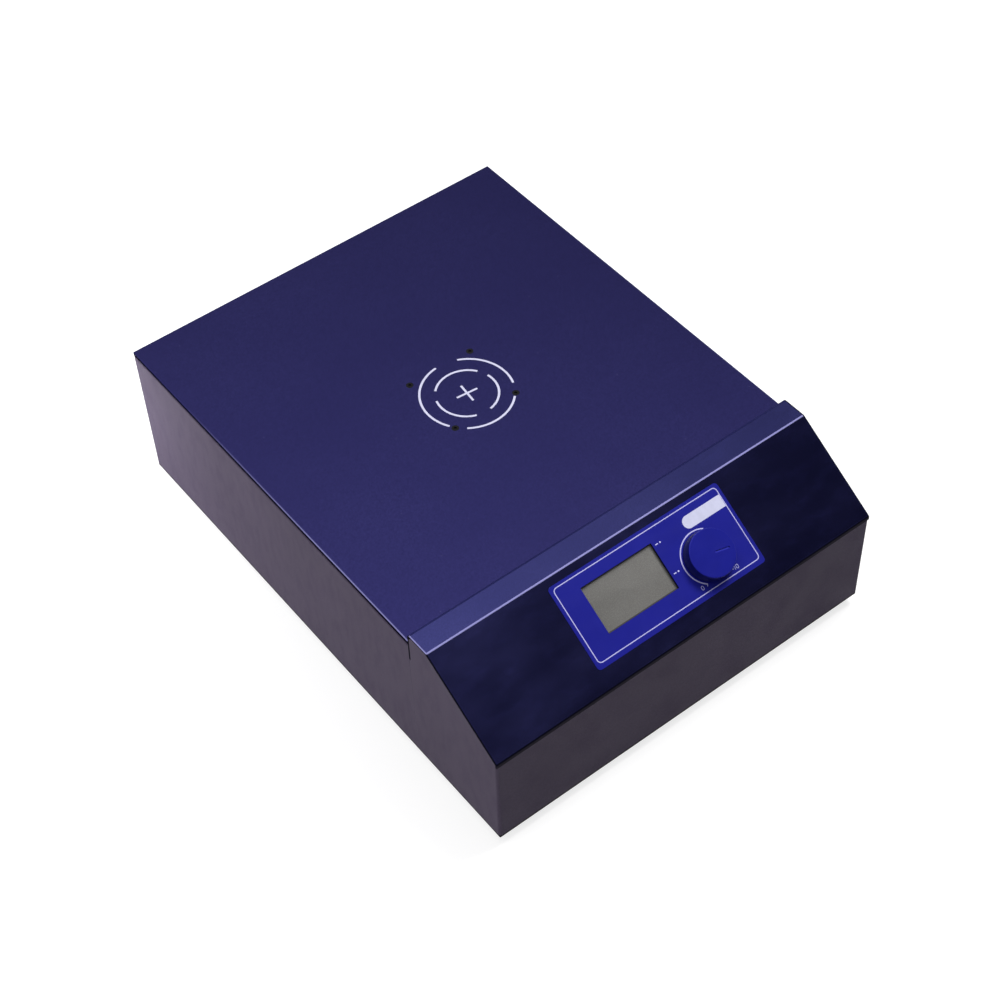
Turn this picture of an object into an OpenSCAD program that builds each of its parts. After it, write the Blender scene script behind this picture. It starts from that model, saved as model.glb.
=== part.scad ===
// Large-volume magnetic stirrer: a low folded-steel body with a painted top plate and a folded
// sloping control panel. A brushless motor hangs from the plate on four pillars and spins two
// magnets just under it. Origin: centre of the footprint on the bench, +Z up, +Y to the back.

/* [Body] */
// Width of the body
body_w = 300; // [290:5:340]
// Depth of the body, from the front face to the back wall
body_d = 395; // [385:5:430]
// Height of the front face above the underside of the body
front_h = 79.5; // [78:0.5:82]
// Height of the plate's top face above the underside of the body
plate_top_h = 112.5; // [110:0.5:114]
// Height of the panel's ridge above the underside of the body
ridge_top_h = 120; // [119:0.5:124]
// Distance from the front face to the ridge's front bend
ridge_front_d = 65; // [62:1:68]
// Distance from the front face to the back of the ridge
ridge_back_d = 83.5; // [82:0.5:88]
// Radius of the body's lower back bend
bottom_r = 5; // [4:0.5:7]

/* [Sheet metal] */
// Thickness of the folded shells
wall_t = 1.2; // [1:0.1:1.5]
// Outer radius of the upright folded corners
fold_r = 2; // [1.8:0.1:3]
// Width of the flanges folded inwards
flange_w = 14; // [12:1:16]
// Thickness of the base plate
base_t = 1.5; // [1.2:0.1:2]
// Gap left at the seam between the two shells
seam_gap = 0.2; // [0.1:0.1:0.4]
// Width of a vent slot
vent_w = 3; // [2:0.5:4]
// Number of vent slots in a row
vent_count = 11; // [6:1:12]

/* [Top plate] */
// Thickness of the top plate
plate_t = 2; // [1.5:0.5:3]
// Radius rolled on the plate's upper edges
plate_edge_r = 0.7; // [0.4:0.1:1]
// Thickness of the gasket under the plate
gasket_t = 0.6; // [0.4:0.1:1]
// Width of the gasket
gasket_w = 8; // [6:1:10]

/* [Control panel] */
// Thickness of the panel's sheet
panel_t = 1.2; // [1:0.1:1.5]
// Outer radius of the ridge's two bends
ridge_r = 2.2; // [1.8:0.1:3]
// Outer radius of the bend over the front face
lip_r = 2; // [1.6:0.1:2.5]
// Height of the lip that turns down over the front face
lip_h = 3; // [2.5:0.5:5]
// Width of the panel label
label_w = 134.4; // [125:1:140]
// Height of the panel label, up the slope
label_l = 58; // [54:0.2:60]
// Thickness of the panel label
label_t = 0.4; // [0.2:0.1:0.6]
// Width of the LCD window
lcd_w = 55.6; // [50:0.2:58]
// Height of the LCD window
lcd_l = 32.2; // [28:0.2:34]

/* [Speed knob] */
// Radius of the knob at its foot
knob_r = 16.1; // [14:0.1:16.5]
// Height of the knob above the label
knob_h = 9.6; // [9:0.1:12]
// Draft on the knob's side, in degrees
knob_draft = 1.5; // [0:0.5:5]
// Direction of the pointer groove at rest, in degrees from +X, anticlockwise
pointer_angle = -12; // [-50:1:230]

/* [Drive] */
// Distance from the front face to the drive axis
drive_d = 227.4; // [220:0.2:236]
// Side of the square of motor fixing screws
motor_pitch = 49.5; // [49:0.1:50]
// Length of the motor pillars
pillar_l = 30; // [28:1:32]
// Outer radius of the motor case
case_r = 29.5; // [29:0.1:30]
// Length of the motor case
case_l = 44; // [42:1:46]
// Radius of the motor shaft
shaft_r = 4; // [3.9:0.1:4.1]
// Distance of each drive magnet from the drive axis
magnet_x = 18; // [17:0.5:18]
// Radius of a drive magnet
magnet_r = 9; // [8:0.5:9]
// Length of a drive magnet
magnet_l = 10; // [8:1:11]

/* [Power entry] */
// Distance of the mains inlet from the middle of the back wall
inlet_x = 92; // [85:1:100]
// Distance of the rocker switch from the middle of the back wall
switch_x = 46; // [40:1:50]
// Height of both above the underside of the body
entry_h = 46; // [40:1:60]
// Travel of the fuse drawer
drawer_travel = 14; // [10:1:16]

/* [Feet] */
// Height of the body above the bench
foot_h = 8; // [6:0.5:10]
// Radius of a foot at the bench
foot_r = 11; // [9:0.5:13]
// Distance of each foot from the sides, the front and the back
foot_inset = 36; // [30:1:45]

/* [Hidden] */
$fn = 64;

// Finishes
plate_blue = [0.17, 0.16, 0.34];
panel_navy = [0.09, 0.10, 0.20];
shell_grey = [0.33, 0.30, 0.36];
label_blue = [0.13, 0.14, 0.52];
black_steel = [0.06, 0.06, 0.07];
zinc = [0.72, 0.72, 0.70];
board_green = [0.07, 0.32, 0.18];
black_plastic = [0.08, 0.08, 0.09];
copper = [0.72, 0.40, 0.22];
brass = [0.78, 0.65, 0.34];
magnet_nickel = [0.75, 0.74, 0.72];

// Small clearances
slack = 0.3;        // between pieces that only stand near each other
fit_gap = 0.05;     // on the radius of a running fit
screw_gap = 0.02;   // between a screw and its thread
cut = 1;            // how far a cutting solid runs past the face that it cuts
lap = 0.02;         // between a lead's end and the tag that it is soldered to
kink = 1.5;         // angle at which a rounded corner's arc crosses its sides

// The rocker switch, whose raised edge is the rearmost point
rocker_half = 7.4;
rocker_rise = 5.2;
rocker_pivot = -3.4;
rocker_tilt = 12;
rear_reach = rocker_pivot + rocker_half * sin(rocker_tilt) + rocker_rise * cos(rocker_tilt);

// The body in the row's frame
front_y = -(body_d + rear_reach) / 2;
back_y = front_y + body_d;
side_x = body_w / 2;
base_z = foot_h;
plate_z = base_z + plate_top_h;
plate_under = plate_z - plate_t;
shell_top = plate_under - gasket_t;
seam_y = front_y + ridge_back_d;
floor_z = base_z + wall_t + base_t;

// The control panel's slope
slope_rise = ridge_top_h - front_h;
slope_a = atan2(slope_rise, ridge_front_d);
slope_l = norm([ridge_front_d, slope_rise]);
label_x = 3.2;
label_s = 41.8;
lcd_x = -17.7;
lcd_s = 44.4;
knob_x = 37.4;
knob_s = 35.2;
back_lip_l = 24;

// The drive, measured down from the plate's underside
drive_y = front_y + drive_d;
magnet_gap = 2.5;
holder_top = plate_under - magnet_gap;
holder_t = 13;
hub_l = 9;
hub_r = 10;
flange_top = plate_under - pillar_l;
flange_t = 4;
case_top = flange_top - flange_t;
case_bottom = case_top - case_l;
case_t = 2;
cap_t = 4;
race_out_r = 11;
race_out_in_r = 9.2;
race_in_out_r = 5.8;
race_l = 7;
ball_r = 1.6;
ball_track_r = 7.5;
ball_count = 7;
race_top_z = [flange_top - 2, case_bottom + 4];   // top face of each bearing
stator_l = 24;
stator_z = case_bottom + 10;
slot_count = 12;
stator_bore = 19;
rotor_r = 15.5;
rotor_magnet_t = 2.8;

/* ---------- shared shapes ---------- */

// Rectangle from low corner p to high corner q with a true radius at each corner,
// given in the order low-low, high-low, high-high, low-high.
module soft_rect(p, q, r) {
    corner = [p, [q.x, p.y], q, [p.x, q.y]];
    inward = [[1, 1], [-1, 1], [-1, -1], [1, -1]];
    difference() {
        translate(p)
            square(q - p);
        for (i = [0:3])
            if (r[i] > 0)
                difference() {
                    translate(corner[i] + inward[i] * (r[i] - cut) / 2)
                        square(r[i] + cut, center = true);
                    translate(corner[i] + inward[i] * r[i])
                        circle(r[i]);
                }
    }
}

// Centred rectangle with one true radius on all four corners.
module round_rect(w, l, r) {
    soft_rect([-w / 2, -l / 2], [w / 2, l / 2], [r, r, r, r]);
}

// Slot with round ends, l long overall, lying along X.
module slot_2d(l, w) {
    square([l - w, w], center = true);
    for (side = [-1, 1])
        translate([side * (l - w) / 2, 0])
            circle(w / 2);
}

// Ring or disc along +Z with a bore.
module tube(r_out, r_in, h) {
    difference() {
        cylinder(r = r_out, h = h);
        translate([0, 0, -cut])
            cylinder(r = r_in, h = h + 2 * cut);
    }
}

// Extrudes a Y-Z outline across the body, centred on X.
module across(w) {
    translate([-w / 2, 0, 0])
        rotate([90, 0, 90])
            linear_extrude(w)
                children();
}

// Extrudes an X-Z outline along +Y, from y = 0.
module deep(l) {
    translate([0, l, 0])
        rotate([90, 0, 0])
            linear_extrude(l)
                children();
}

// Frame on the panel's slope: x across, y up the slope from its lower edge, z outwards.
module on_panel(x, s, h = 0) {
    translate([0, front_y, base_z + front_h])
        rotate([slope_a, 0, 0])
            translate([x, s, h])
                children();
}

// Frame on the back wall: x to the right as seen from behind, y up, z outwards.
module on_back(x, h) {
    translate([x, back_y, base_z + h])
        rotate([90, 0, 180])
            children();
}

// Frame on the drive axis at height z.
module on_drive(z) {
    translate([0, drive_y, z])
        children();
}

// Four places on the motor's fixing square.
module at_motor_corners() {
    for (sx = [-1, 1], sy = [-1, 1])
        translate([sx * motor_pitch / 2, sy * motor_pitch / 2, 0])
            children();
}

// Convex outline in 2D with a radius given for each corner. Each arc crosses its two sides at
// the small angle kink instead of touching them, which keeps the solid's edges clean.
module rounded(points, radii) {
    n = len(points);
    difference() {
        polygon(points);
        for (i = [0:n - 1])
            if (radii[i] > 0)
                difference() {
                    corner_kite(points[(i + n - 1) % n], points[i], points[(i + 1) % n],
                        radii[i] * cos(kink));
                    translate(corner_centre(points[(i + n - 1) % n], points[i],
                        points[(i + 1) % n], radii[i] * cos(kink)))
                        circle(radii[i]);
                }
    }
}

function corner_half(a, p, b) = acos(unit(a - p) * unit(b - p)) / 2;
function corner_centre(a, p, b, r) =
    p + unit(unit(a - p) + unit(b - p)) * r / sin(corner_half(a, p, b));

// The corner's part between its two sides and the arc's centre, running a little outside.
module corner_kite(a, p, b, r) {
    c = corner_centre(a, p, b, r);
    reach = r / tan(corner_half(a, p, b));
    foot_a = p + unit(a - p) * reach;
    foot_b = p + unit(b - p) * reach;
    polygon([
        c,
        foot_a + unit(foot_a - c) * cut,
        p + unit(p - c) * 2 * cut,
        foot_b + unit(foot_b - c) * cut
    ]);
}

// Pan-head screw with a cross recess: head up from z = 0, shank down.
module pan_screw(r, l, head_r, head_h) {
    difference() {
        union() {
            cylinder(r1 = head_r, r2 = head_r * 0.7, h = head_h);
            translate([0, 0, -l])
                cylinder(r = r, h = l);
        }
        for (turn = [0, 90])
            rotate(turn)
                translate([-head_r * 0.5, -head_r * 0.1, head_h * 0.45])
                    cube([head_r, head_r * 0.2, head_h]);
    }
}

// Hexagon nut of across-flats size af.
module hex_nut(af, bore_r, h) {
    difference() {
        cylinder(r = af / sqrt(3), h = h, $fn = 6);
        translate([0, 0, -cut])
            cylinder(r = bore_r, h = h + 2 * cut);
    }
}

// Points on a smooth curve through the given points, n steps to each span.
function curve_at(p, i, u) =
    let (
        a = p[max(i - 1, 0)],
        b = p[i],
        c = p[i + 1],
        d = p[min(i + 2, len(p) - 1)]
    )
    0.5 * (2 * b + (c - a) * u + (2 * a - 5 * b + 4 * c - d) * u * u
        + (3 * b - a - 3 * c + d) * u * u * u);
function curve(p, n) = [
    for (i = [0:len(p) - 2], k = [0:n - 1]) curve_at(p, i, k / n),
    p[len(p) - 1]
];
function unit(v) = v / norm(v);
function heading(p, i) = unit(p[min(i + 1, len(p) - 1)] - p[max(i - 1, 0)]);

// A side vector at each point of the path, carried along it without twist.
function carried(p, i, side) =
    i == len(p) ? [] :
    let (
        t = heading(p, i),
        next = unit(side - (side * t) * t)
    )
    concat([next], carried(p, i + 1, next));

// Insulated lead of radius r along a smooth curve through the points of route.
module lead(route, r, n = 4, sides = 8) {
    path = curve(route, n);
    rings = len(path);
    start = heading(path, 0);
    side = carried(path, 0, cross(start, abs(start.z) < 0.8 ? [0, 0, 1] : [1, 0, 0]));
    ring = [
        for (i = [0:rings - 1])
            let (up = cross(side[i], heading(path, i)))
            for (k = [0:sides - 1])
                path[i] + r * (cos(360 * k / sides) * side[i] + sin(360 * k / sides) * up)
    ];
    polyhedron(ring, concat(
        [[for (k = [sides - 1:-1:0]) k]],
        [
            for (i = [0:rings - 2], k = [0:sides - 1])
                [
                    i * sides + k,
                    i * sides + (k + 1) % sides,
                    (i + 1) * sides + (k + 1) % sides,
                    (i + 1) * sides + k
                ]
        ],
        [[for (k = [0:sides - 1]) (rings - 1) * sides + k]]
    ));
}

/* ---------- casing ---------- */

// Solid block of the rear shell's form, drawn in by inset on every closed side.
module rear_block(inset, front) {
    x = side_x - inset;
    r = max(fold_r - inset, 0.1);
    low = base_z + inset;
    back = back_y - inset;
    intersection() {
        across(body_w)
            soft_rect([front, low], [back, shell_top - inset], [0, bottom_r - inset, 0, 0]);
        translate([0, 0, base_z - cut])
            linear_extrude(plate_top_h + 2 * cut)
                soft_rect([-x, front], [x, back], [0, 0, r, r]);
        translate([0, front - cut, 0])
            deep(body_d + 2 * cut)
                soft_rect([-x, low], [x, shell_top - inset], [r, r, r, r]);
    }
}

stud_r = 2;
stud_inset = 8;
stud_places = [
    for (sx = [-1, 1], along = [0.18, 0.5, 0.82])
        [sx * (side_x - stud_inset), seam_y + along * (back_y - seam_y)],
    [0, back_y - stud_inset]
];

// Row of vent slots in the current 2D plane, side by side along X.
module vent_row(l) {
    for (i = [0:vent_count - 1])
        translate([(i - (vent_count - 1) / 2) * vent_w * 2.4, 0])
            rotate(90)
                slot_2d(l, vent_w);
}

switch_cut = [13.4, 19.6];
inlet_cut = [28.4, 32.4];
inlet_ear = 20;
vent_x = -70;

// Screws that join the casing: up through the lower flanges, and through the panel's back lip.
screw_r = 1.5;
edge_in = 8;
base_screw_places = [
    for (sx = [-1, 1])
        each [
            [sx * (side_x - edge_in), front_y + 52],
            [sx * (side_x - edge_in), seam_y + 78],
            [sx * (side_x - edge_in), back_y - 96],
            [sx * side_x * 0.4, front_y + edge_in],
            [sx * side_x * 0.4, back_y - edge_in - 2]
        ]
];
rail_screw_x = [-108, -36, 36, 108];
rail_screw_z = shell_top - 8;

// Clearance holes for the base screws, through the sheet whose underside is at height z.
module base_screw_holes(z, t, r) {
    for (p = base_screw_places)
        translate([p.x, p.y, z - cut])
            cylinder(r = r, h = t + 2 * cut);
}

module rear_shell() {
    inner_x = side_x - flange_w;
    front = seam_y + seam_gap;
    color(shell_grey)
        difference() {
            rear_block(0, front);
            rear_block(wall_t, front - cut);
            // openings that leave the upper and lower flanges
            translate([-inner_x, front - cut, base_z - cut])
                cube([2 * inner_x, body_d - ridge_back_d - flange_w + cut, plate_top_h + 2 * cut]);
            for (p = stud_places)
                translate([p.x, p.y, shell_top - wall_t - cut])
                    cylinder(r = stud_r + 0.3, h = wall_t + 2 * cut);
            base_screw_holes(base_z, wall_t, screw_r + 0.2);
            on_back(inlet_x, entry_h) {
                translate([-inlet_cut.x / 2, -inlet_cut.y / 2, -wall_t - cut])
                    cube([inlet_cut.x, inlet_cut.y, wall_t + 2 * cut]);
                for (side = [-1, 1])
                    translate([side * inlet_ear, 0, -wall_t - cut])
                        cylinder(r = 1.7, h = wall_t + 2 * cut);
            }
            on_back(switch_x, entry_h)
                translate([-switch_cut.x / 2, -switch_cut.y / 2, -wall_t - cut])
                    cube([switch_cut.x, switch_cut.y, wall_t + 2 * cut]);
            for (row = [-1, 1])
                on_back(vent_x, entry_h + row * 13)
                    translate([0, 0, -wall_t - cut])
                        linear_extrude(wall_t + 2 * cut)
                            vent_row(20);
        }
}

// Y-Z outline of the front housing under the panel's sheet, drawn in by inset.
module cheek_outline(inset, back) {
    drop = panel_t + inset;
    rise = drop / cos(slope_a);
    low = base_z + inset;
    front = front_y + inset;
    front_top = base_z + front_h - rise + inset * tan(slope_a);
    bend_y = front_y + ridge_front_d + drop * tan(slope_a / 2);
    top = base_z + ridge_top_h - drop;
    lip_y = min(back, seam_y - panel_t - seam_gap - inset);
    lip_z = base_z + ridge_top_h - back_lip_l - seam_gap - inset;
    // corners cut back to clear the inside of the panel's bends
    ridge_c = (ridge_r - panel_t) * tan(slope_a / 2);
    lip_c = (lip_r - panel_t) * tan((90 - slope_a) / 2) + seam_gap;
    up = [cos(slope_a), sin(slope_a)];
    face_y = front + (inset > 0 ? 0 : panel_t + seam_gap);
    polygon([
        [front, low],
        [back, low],
        [back, lip_z],
        [lip_y, lip_z],
        [lip_y, top - ridge_r],
        [lip_y - ridge_r, top],
        [bend_y + ridge_c, top],
        [bend_y, top] - ridge_c * up,
        [face_y, front_top + (face_y - front) * tan(slope_a)] + lip_c * up,
        [face_y, front_top + (face_y - front) * tan(slope_a) - lip_c],
        [front, front_top + (face_y - front) * tan(slope_a) - lip_c]
    ]);
}

module housing_block(inset, back) {
    x = side_x - inset;
    r = max(fold_r - inset, 0.1);
    intersection() {
        across(body_w)
            cheek_outline(inset, back);
        across(body_w)
            soft_rect([front_y + inset, base_z + inset], [back, plate_z + body_w], [r, 0, 0, 0]);
        translate([0, 0, base_z - cut])
            linear_extrude(ridge_top_h + 2 * cut)
                soft_rect([-x, front_y + inset], [x, back], [r, r, 0, 0]);
        translate([0, front_y - cut, 0])
            deep(ridge_back_d + 2 * cut)
                soft_rect([-x, base_z + inset], [x, plate_z + body_w], [r, r, 0, 0]);
    }
}

module front_housing() {
    inner_x = side_x - flange_w;
    lip_top = base_z + front_h - lip_h - seam_gap;
    color(shell_grey)
        difference() {
            housing_block(0, seam_y);
            housing_block(wall_t, seam_y + cut);
            // opening that leaves the flanges on the cheeks and along the floor
            translate([-inner_x, front_y + flange_w, base_z - cut])
                cube([2 * inner_x, ridge_back_d, ridge_top_h + 2 * cut]);
            translate([-inner_x, front_y + wall_t, base_z + flange_w])
                cube([2 * inner_x, ridge_back_d, ridge_top_h]);
            base_screw_holes(base_z, wall_t, screw_r + 0.2);
            // the front face stops short of the panel's lip
            translate([-side_x - cut, front_y - cut, lip_top])
                cube([body_w + 2 * cut, cut + panel_t + seam_gap, front_h]);
        }
}

foot_places = [
    [-side_x + foot_inset, front_y + foot_inset],
    [side_x - foot_inset, front_y + foot_inset],
    [-side_x + foot_inset, back_y - foot_inset],
    [side_x - foot_inset, back_y - foot_inset]
];

control_board_at = [-82, front_y + 262];
control_board_size = [88, 104];
supply_board_at = [88, front_y + 250];
supply_board_size = [70, 116];
board_inset = 5;
function board_corners(at, size) = [
    for (sx = [-1, 1], sy = [-1, 1])
        [at.x + sx * (size.x / 2 - board_inset), at.y + sy * (size.y / 2 - board_inset)]
];
spacer_places = concat(
    board_corners(control_board_at, control_board_size),
    board_corners(supply_board_at, supply_board_size)
);
earth_at = [60, back_y - 30];

module body_screws() {
    color(zinc) {
        for (p = base_screw_places)
            translate([p.x, p.y, base_z])
                mirror([0, 0, 1])
                    pan_screw(screw_r, wall_t + base_t + 2, 2.8, 1.8);
        for (x = rail_screw_x)
            translate([x, seam_y - panel_t, rail_screw_z])
                rotate([90, 0, 0])
                    pan_screw(screw_r, panel_t + rail_t + 3, 2.8, 1.8);
    }
}

module base_plate() {
    x = side_x - fold_r - slack;
    front = front_y + fold_r + slack;
    back = back_y - bottom_r;
    color(shell_grey)
        translate([0, 0, base_z + wall_t])
            linear_extrude(base_t)
                difference() {
                    soft_rect([-x, front], [x, back], [1, 1, 4, 4]);
                    for (p = foot_places)
                        translate(p)
                            circle(2.2);
                    for (p = spacer_places)
                        translate(p)
                            circle(1.6);
                    translate(earth_at)
                        circle(2.1);
                    for (p = base_screw_places)
                        translate(p)
                            circle(screw_r + screw_gap);
                    // vents under the motor and under the supply
                    for (row = [-1, 1])
                        translate([0, drive_y + row * 18])
                            vent_row(28);
                    translate([supply_board_at.x, front_y + 130])
                        vent_row(28);
                }
}

/* ---------- top plate ---------- */

plate_front = seam_y + 2 * seam_gap;
csk_r = 2.4;
csk_h = 1.3;
plate_screw_r = 1.5;

module top_plate() {
    r = plate_edge_r;
    color(plate_blue)
        difference() {
            intersection() {
                across(body_w)
                    soft_rect([plate_front, plate_under], [back_y, plate_z], [0, 0, r, r]);
                translate([0, plate_front, 0])
                    deep(back_y - plate_front)
                        soft_rect([-side_x, plate_under], [side_x, plate_z], [0, 0, r, r]);
                translate([0, 0, plate_under])
                    linear_extrude(plate_t)
                        soft_rect([-side_x, plate_front], [side_x, back_y], [0, 0, 1.5, 1.5]);
            }
            on_drive(plate_z)
                at_motor_corners() {
                    translate([0, 0, -csk_h])
                        cylinder(r1 = plate_screw_r + 0.1, r2 = csk_r + 0.1, h = csk_h);
                    cylinder(r = csk_r + 0.1, h = cut);
                    translate([0, 0, -plate_t - cut])
                        cylinder(r = plate_screw_r + 0.1, h = plate_t + cut);
                }
        }
}

module plate_gasket() {
    in = 1.8;
    wide = in + gasket_w;
    color(black_plastic)
        translate([0, 0, shell_top])
            linear_extrude(gasket_t)
                difference() {
                    soft_rect([-side_x + in, plate_front + in], [side_x - in, back_y - in],
                        [1, 1, 2, 2]);
                    soft_rect([-side_x + wide, plate_front + wide],
                        [side_x - wide, back_y - wide], [2, 2, 2, 2]);
                    for (p = stud_places)
                        translate(p)
                            circle(stud_r + screw_gap);
                }
}

stud_l = 9;
nut_af = 7;
nut_h = 3.2;

module plate_studs() {
    color(zinc)
        for (p = stud_places)
            translate([p.x, p.y, plate_under - stud_l])
                cylinder(r = stud_r, h = stud_l);
}

module plate_nuts() {
    color(zinc)
        for (p = stud_places)
            translate([p.x, p.y, shell_top - wall_t - nut_h])
                hex_nut(nut_af, stud_r + screw_gap, nut_h);
}

rail_t = 1.5;
rail_h = 20;
rail_w = 16;

// Folded angle behind the panel's back lip; it carries the front edge of the plate.
module cross_rail() {
    r = 2;
    color(zinc)
        translate([0, seam_y, 0])
            difference() {
                across(2 * (side_x - flange_w - slack))
                    difference() {
                        soft_rect([0, shell_top - rail_h], [rail_w, shell_top], [0, 0, 0, r]);
                        soft_rect([rail_t, shell_top - rail_h - cut],
                            [rail_w + cut, shell_top - rail_t], [0, 0, 0, r - rail_t]);
                    }
                for (side = [-1, 1])
                    translate([side * side_x * 0.6, rail_w / 2, shell_top - rail_t - cut])
                        cylinder(r = 2.2, h = rail_t + 2 * cut);
                for (x = rail_screw_x)
                    translate([x, rail_t + cut, rail_screw_z])
                        rotate([90, 0, 0])
                            cylinder(r = screw_r + screw_gap, h = rail_t + 2 * cut);
            }
}

/* ---------- control panel ---------- */

pot_hole_r = 3.6;
display_x = lcd_x - 4;
display_size = [86, 50];
display_pitch = [78, 42];

// Four places round the LCD where the display board is fixed.
module at_display_corners() {
    for (sx = [-1, 1], sy = [-1, 1])
        translate([display_x + sx * display_pitch.x / 2, lcd_s + sy * display_pitch.y / 2, 0])
            children();
}

// The panel's folded sheet in the Y-Z plane: front lip, slope, ridge and back lip.
module panel_section() {
    t = panel_t;
    low_z = base_z + front_h;
    high_z = base_z + ridge_top_h;
    bend_y = front_y + ridge_front_d;
    foot_z = high_z - back_lip_l;
    lip_z = low_z - lip_h;
    difference() {
        rounded([
            [front_y, lip_z],
            [front_y, low_z],
            [bend_y, high_z],
            [seam_y, high_z],
            [seam_y, foot_z],
            [seam_y - t - cut, foot_z],
            [front_y + t + cut, lip_z]
        ], [0, lip_r, ridge_r, ridge_r, 0, 0, 0]);
        rounded([
            [front_y + t, lip_z - cut],
            [front_y + t, low_z - t * (1 - sin(slope_a)) / cos(slope_a)],
            [bend_y + t * tan(slope_a / 2), high_z - t],
            [seam_y - t, high_z - t],
            [seam_y - t, lip_z - cut]
        ], [0, lip_r - t, ridge_r - t, ridge_r - t, 0]);
    }
}

module control_panel() {
    color(panel_navy)
        difference() {
            across(body_w)
                panel_section();
            on_panel(lcd_x, lcd_s, -panel_t - cut)
                linear_extrude(panel_t + 2 * cut)
                    round_rect(lcd_w, lcd_l, 0.5);
            on_panel(knob_x, knob_s, -panel_t - cut)
                cylinder(r = pot_hole_r, h = panel_t + 2 * cut);
            for (x = rail_screw_x)
                translate([x, seam_y + cut, rail_screw_z])
                    rotate([90, 0, 0])
                        cylinder(r = screw_r + 0.2, h = panel_t + 2 * cut);
        }
}

module panel_label() {
    color(label_blue)
        on_panel(0, 0)
            linear_extrude(label_t)
                difference() {
                    translate([label_x, label_s])
                        round_rect(label_w, label_l, 2.6);
                    translate([lcd_x, lcd_s])
                        round_rect(lcd_w, lcd_l, 0.5);
                    translate([knob_x, knob_s])
                        circle(7);
                }
}

lens_t = 1;
glass_t = 2.8;
board_t = 1.6;
display_gap = 1.2;
glass_top = -panel_t - lens_t;
display_top = glass_top - glass_t - display_gap;
pin_pitch = 2.54;
ribbon_x = -50;
socket_s = 31;
socket_h = 6;

module lcd_window() {
    color([0.75, 0.78, 0.76, 0.5])
        on_panel(lcd_x, lcd_s, -panel_t - lens_t)
            linear_extrude(lens_t)
                round_rect(lcd_w + 6, lcd_l + 6, 1);
}

module lcd_glass() {
    color([0.45, 0.45, 0.43])
        on_panel(lcd_x, lcd_s, glass_top - glass_t) {
            linear_extrude(glass_t)
                round_rect(lcd_w + 4, lcd_l + 4, 0.5);
            // contact pins along the lower edge
            for (i = [-8:8])
                translate([i * pin_pitch - 0.25, -lcd_l / 2 - 1, -display_gap])
                    cube([0.5, 0.5, display_gap]);
        }
}

module display_board() {
    color(board_green)
        on_panel(0, 0, display_top - board_t)
            difference() {
                union() {
                    translate([display_x, lcd_s, 0])
                        linear_extrude(board_t)
                            round_rect(display_size.x, display_size.y, 1.5);
                    // controller chip and the ribbon's socket, on the lower face
                    translate([display_x - 6, lcd_s - 5, -2])
                        cube([12, 12, 2]);
                    translate([ribbon_x - 10, socket_s - 3, -socket_h])
                        cube([20, 6, socket_h]);
                }
                at_display_corners()
                    translate([0, 0, -cut])
                        cylinder(r = 1.55, h = board_t + 2 * cut);
            }
}

// Weld studs under the panel, each with a spacer sleeve above the board and a nut below it.
module display_fixings() {
    sleeve_l = -panel_t - display_top;
    stud_end = display_top - board_t - 4;
    color(zinc)
        on_panel(0, 0)
            at_display_corners() {
                translate([0, 0, stud_end])
                    cylinder(r = 1.5, h = -panel_t - stud_end);
                translate([0, 0, display_top])
                    tube(2.75, 1.5 + screw_gap, sleeve_l);
                translate([0, 0, display_top - board_t - 2.4])
                    hex_nut(5.5, 1.5 + screw_gap, 2.4);
            }
}

/* ---------- speed control ---------- */

bushing_r = 3.5;
bushing_top = 3.6;
pot_shaft_r = 3;
pot_case_r = 12;
pot_case_l = 9;
washer_t = 0.5;
pot_nut_h = 2;
shaft_top = 7.6;
d_flat = 2;         // distance from the axis to the flat of the D

// D section of radius r, with its flat offset outwards by extra.
module d_section(r, extra = 0) {
    intersection() {
        circle(r);
        translate([-r - cut, -r - cut])
            square([r + cut + d_flat + extra, 2 * (r + cut)]);
    }
}

module pot_case() {
    color(brass)
        on_panel(knob_x, knob_s)
            difference() {
                union() {
                    translate([0, 0, -panel_t - pot_case_l])
                        cylinder(r = pot_case_r, h = pot_case_l);
                    translate([0, 0, -panel_t])
                        cylinder(r = bushing_r, h = panel_t + bushing_top);
                    // three solder tags towards the lower edge
                    for (i = [-1:1])
                        translate([i * 5 - 1, -pot_case_r - 6, -panel_t - pot_case_l + 2])
                            cube([2, 8, 0.8]);
                }
                translate([0, 0, -panel_t - pot_case_l + 2])
                    cylinder(r = pot_shaft_r + fit_gap, h = pot_case_l + panel_t + bushing_top);
            }
}

module pot_nut() {
    color(zinc)
        on_panel(knob_x, knob_s) {
            tube(6, bushing_r + screw_gap, washer_t);
            translate([0, 0, washer_t])
                hex_nut(10, bushing_r + screw_gap, pot_nut_h);
        }
}

module pot_shaft() {
    foot = -panel_t - pot_case_l + 2 + slack;
    color(brass)
        on_panel(knob_x, knob_s)
            rotate(pointer_angle) {
                translate([0, 0, foot])
                    cylinder(r = pot_shaft_r, h = bushing_top - foot);
                translate([0, 0, bushing_top])
                    linear_extrude(shaft_top - bushing_top)
                        d_section(pot_shaft_r);
            }
}

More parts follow.
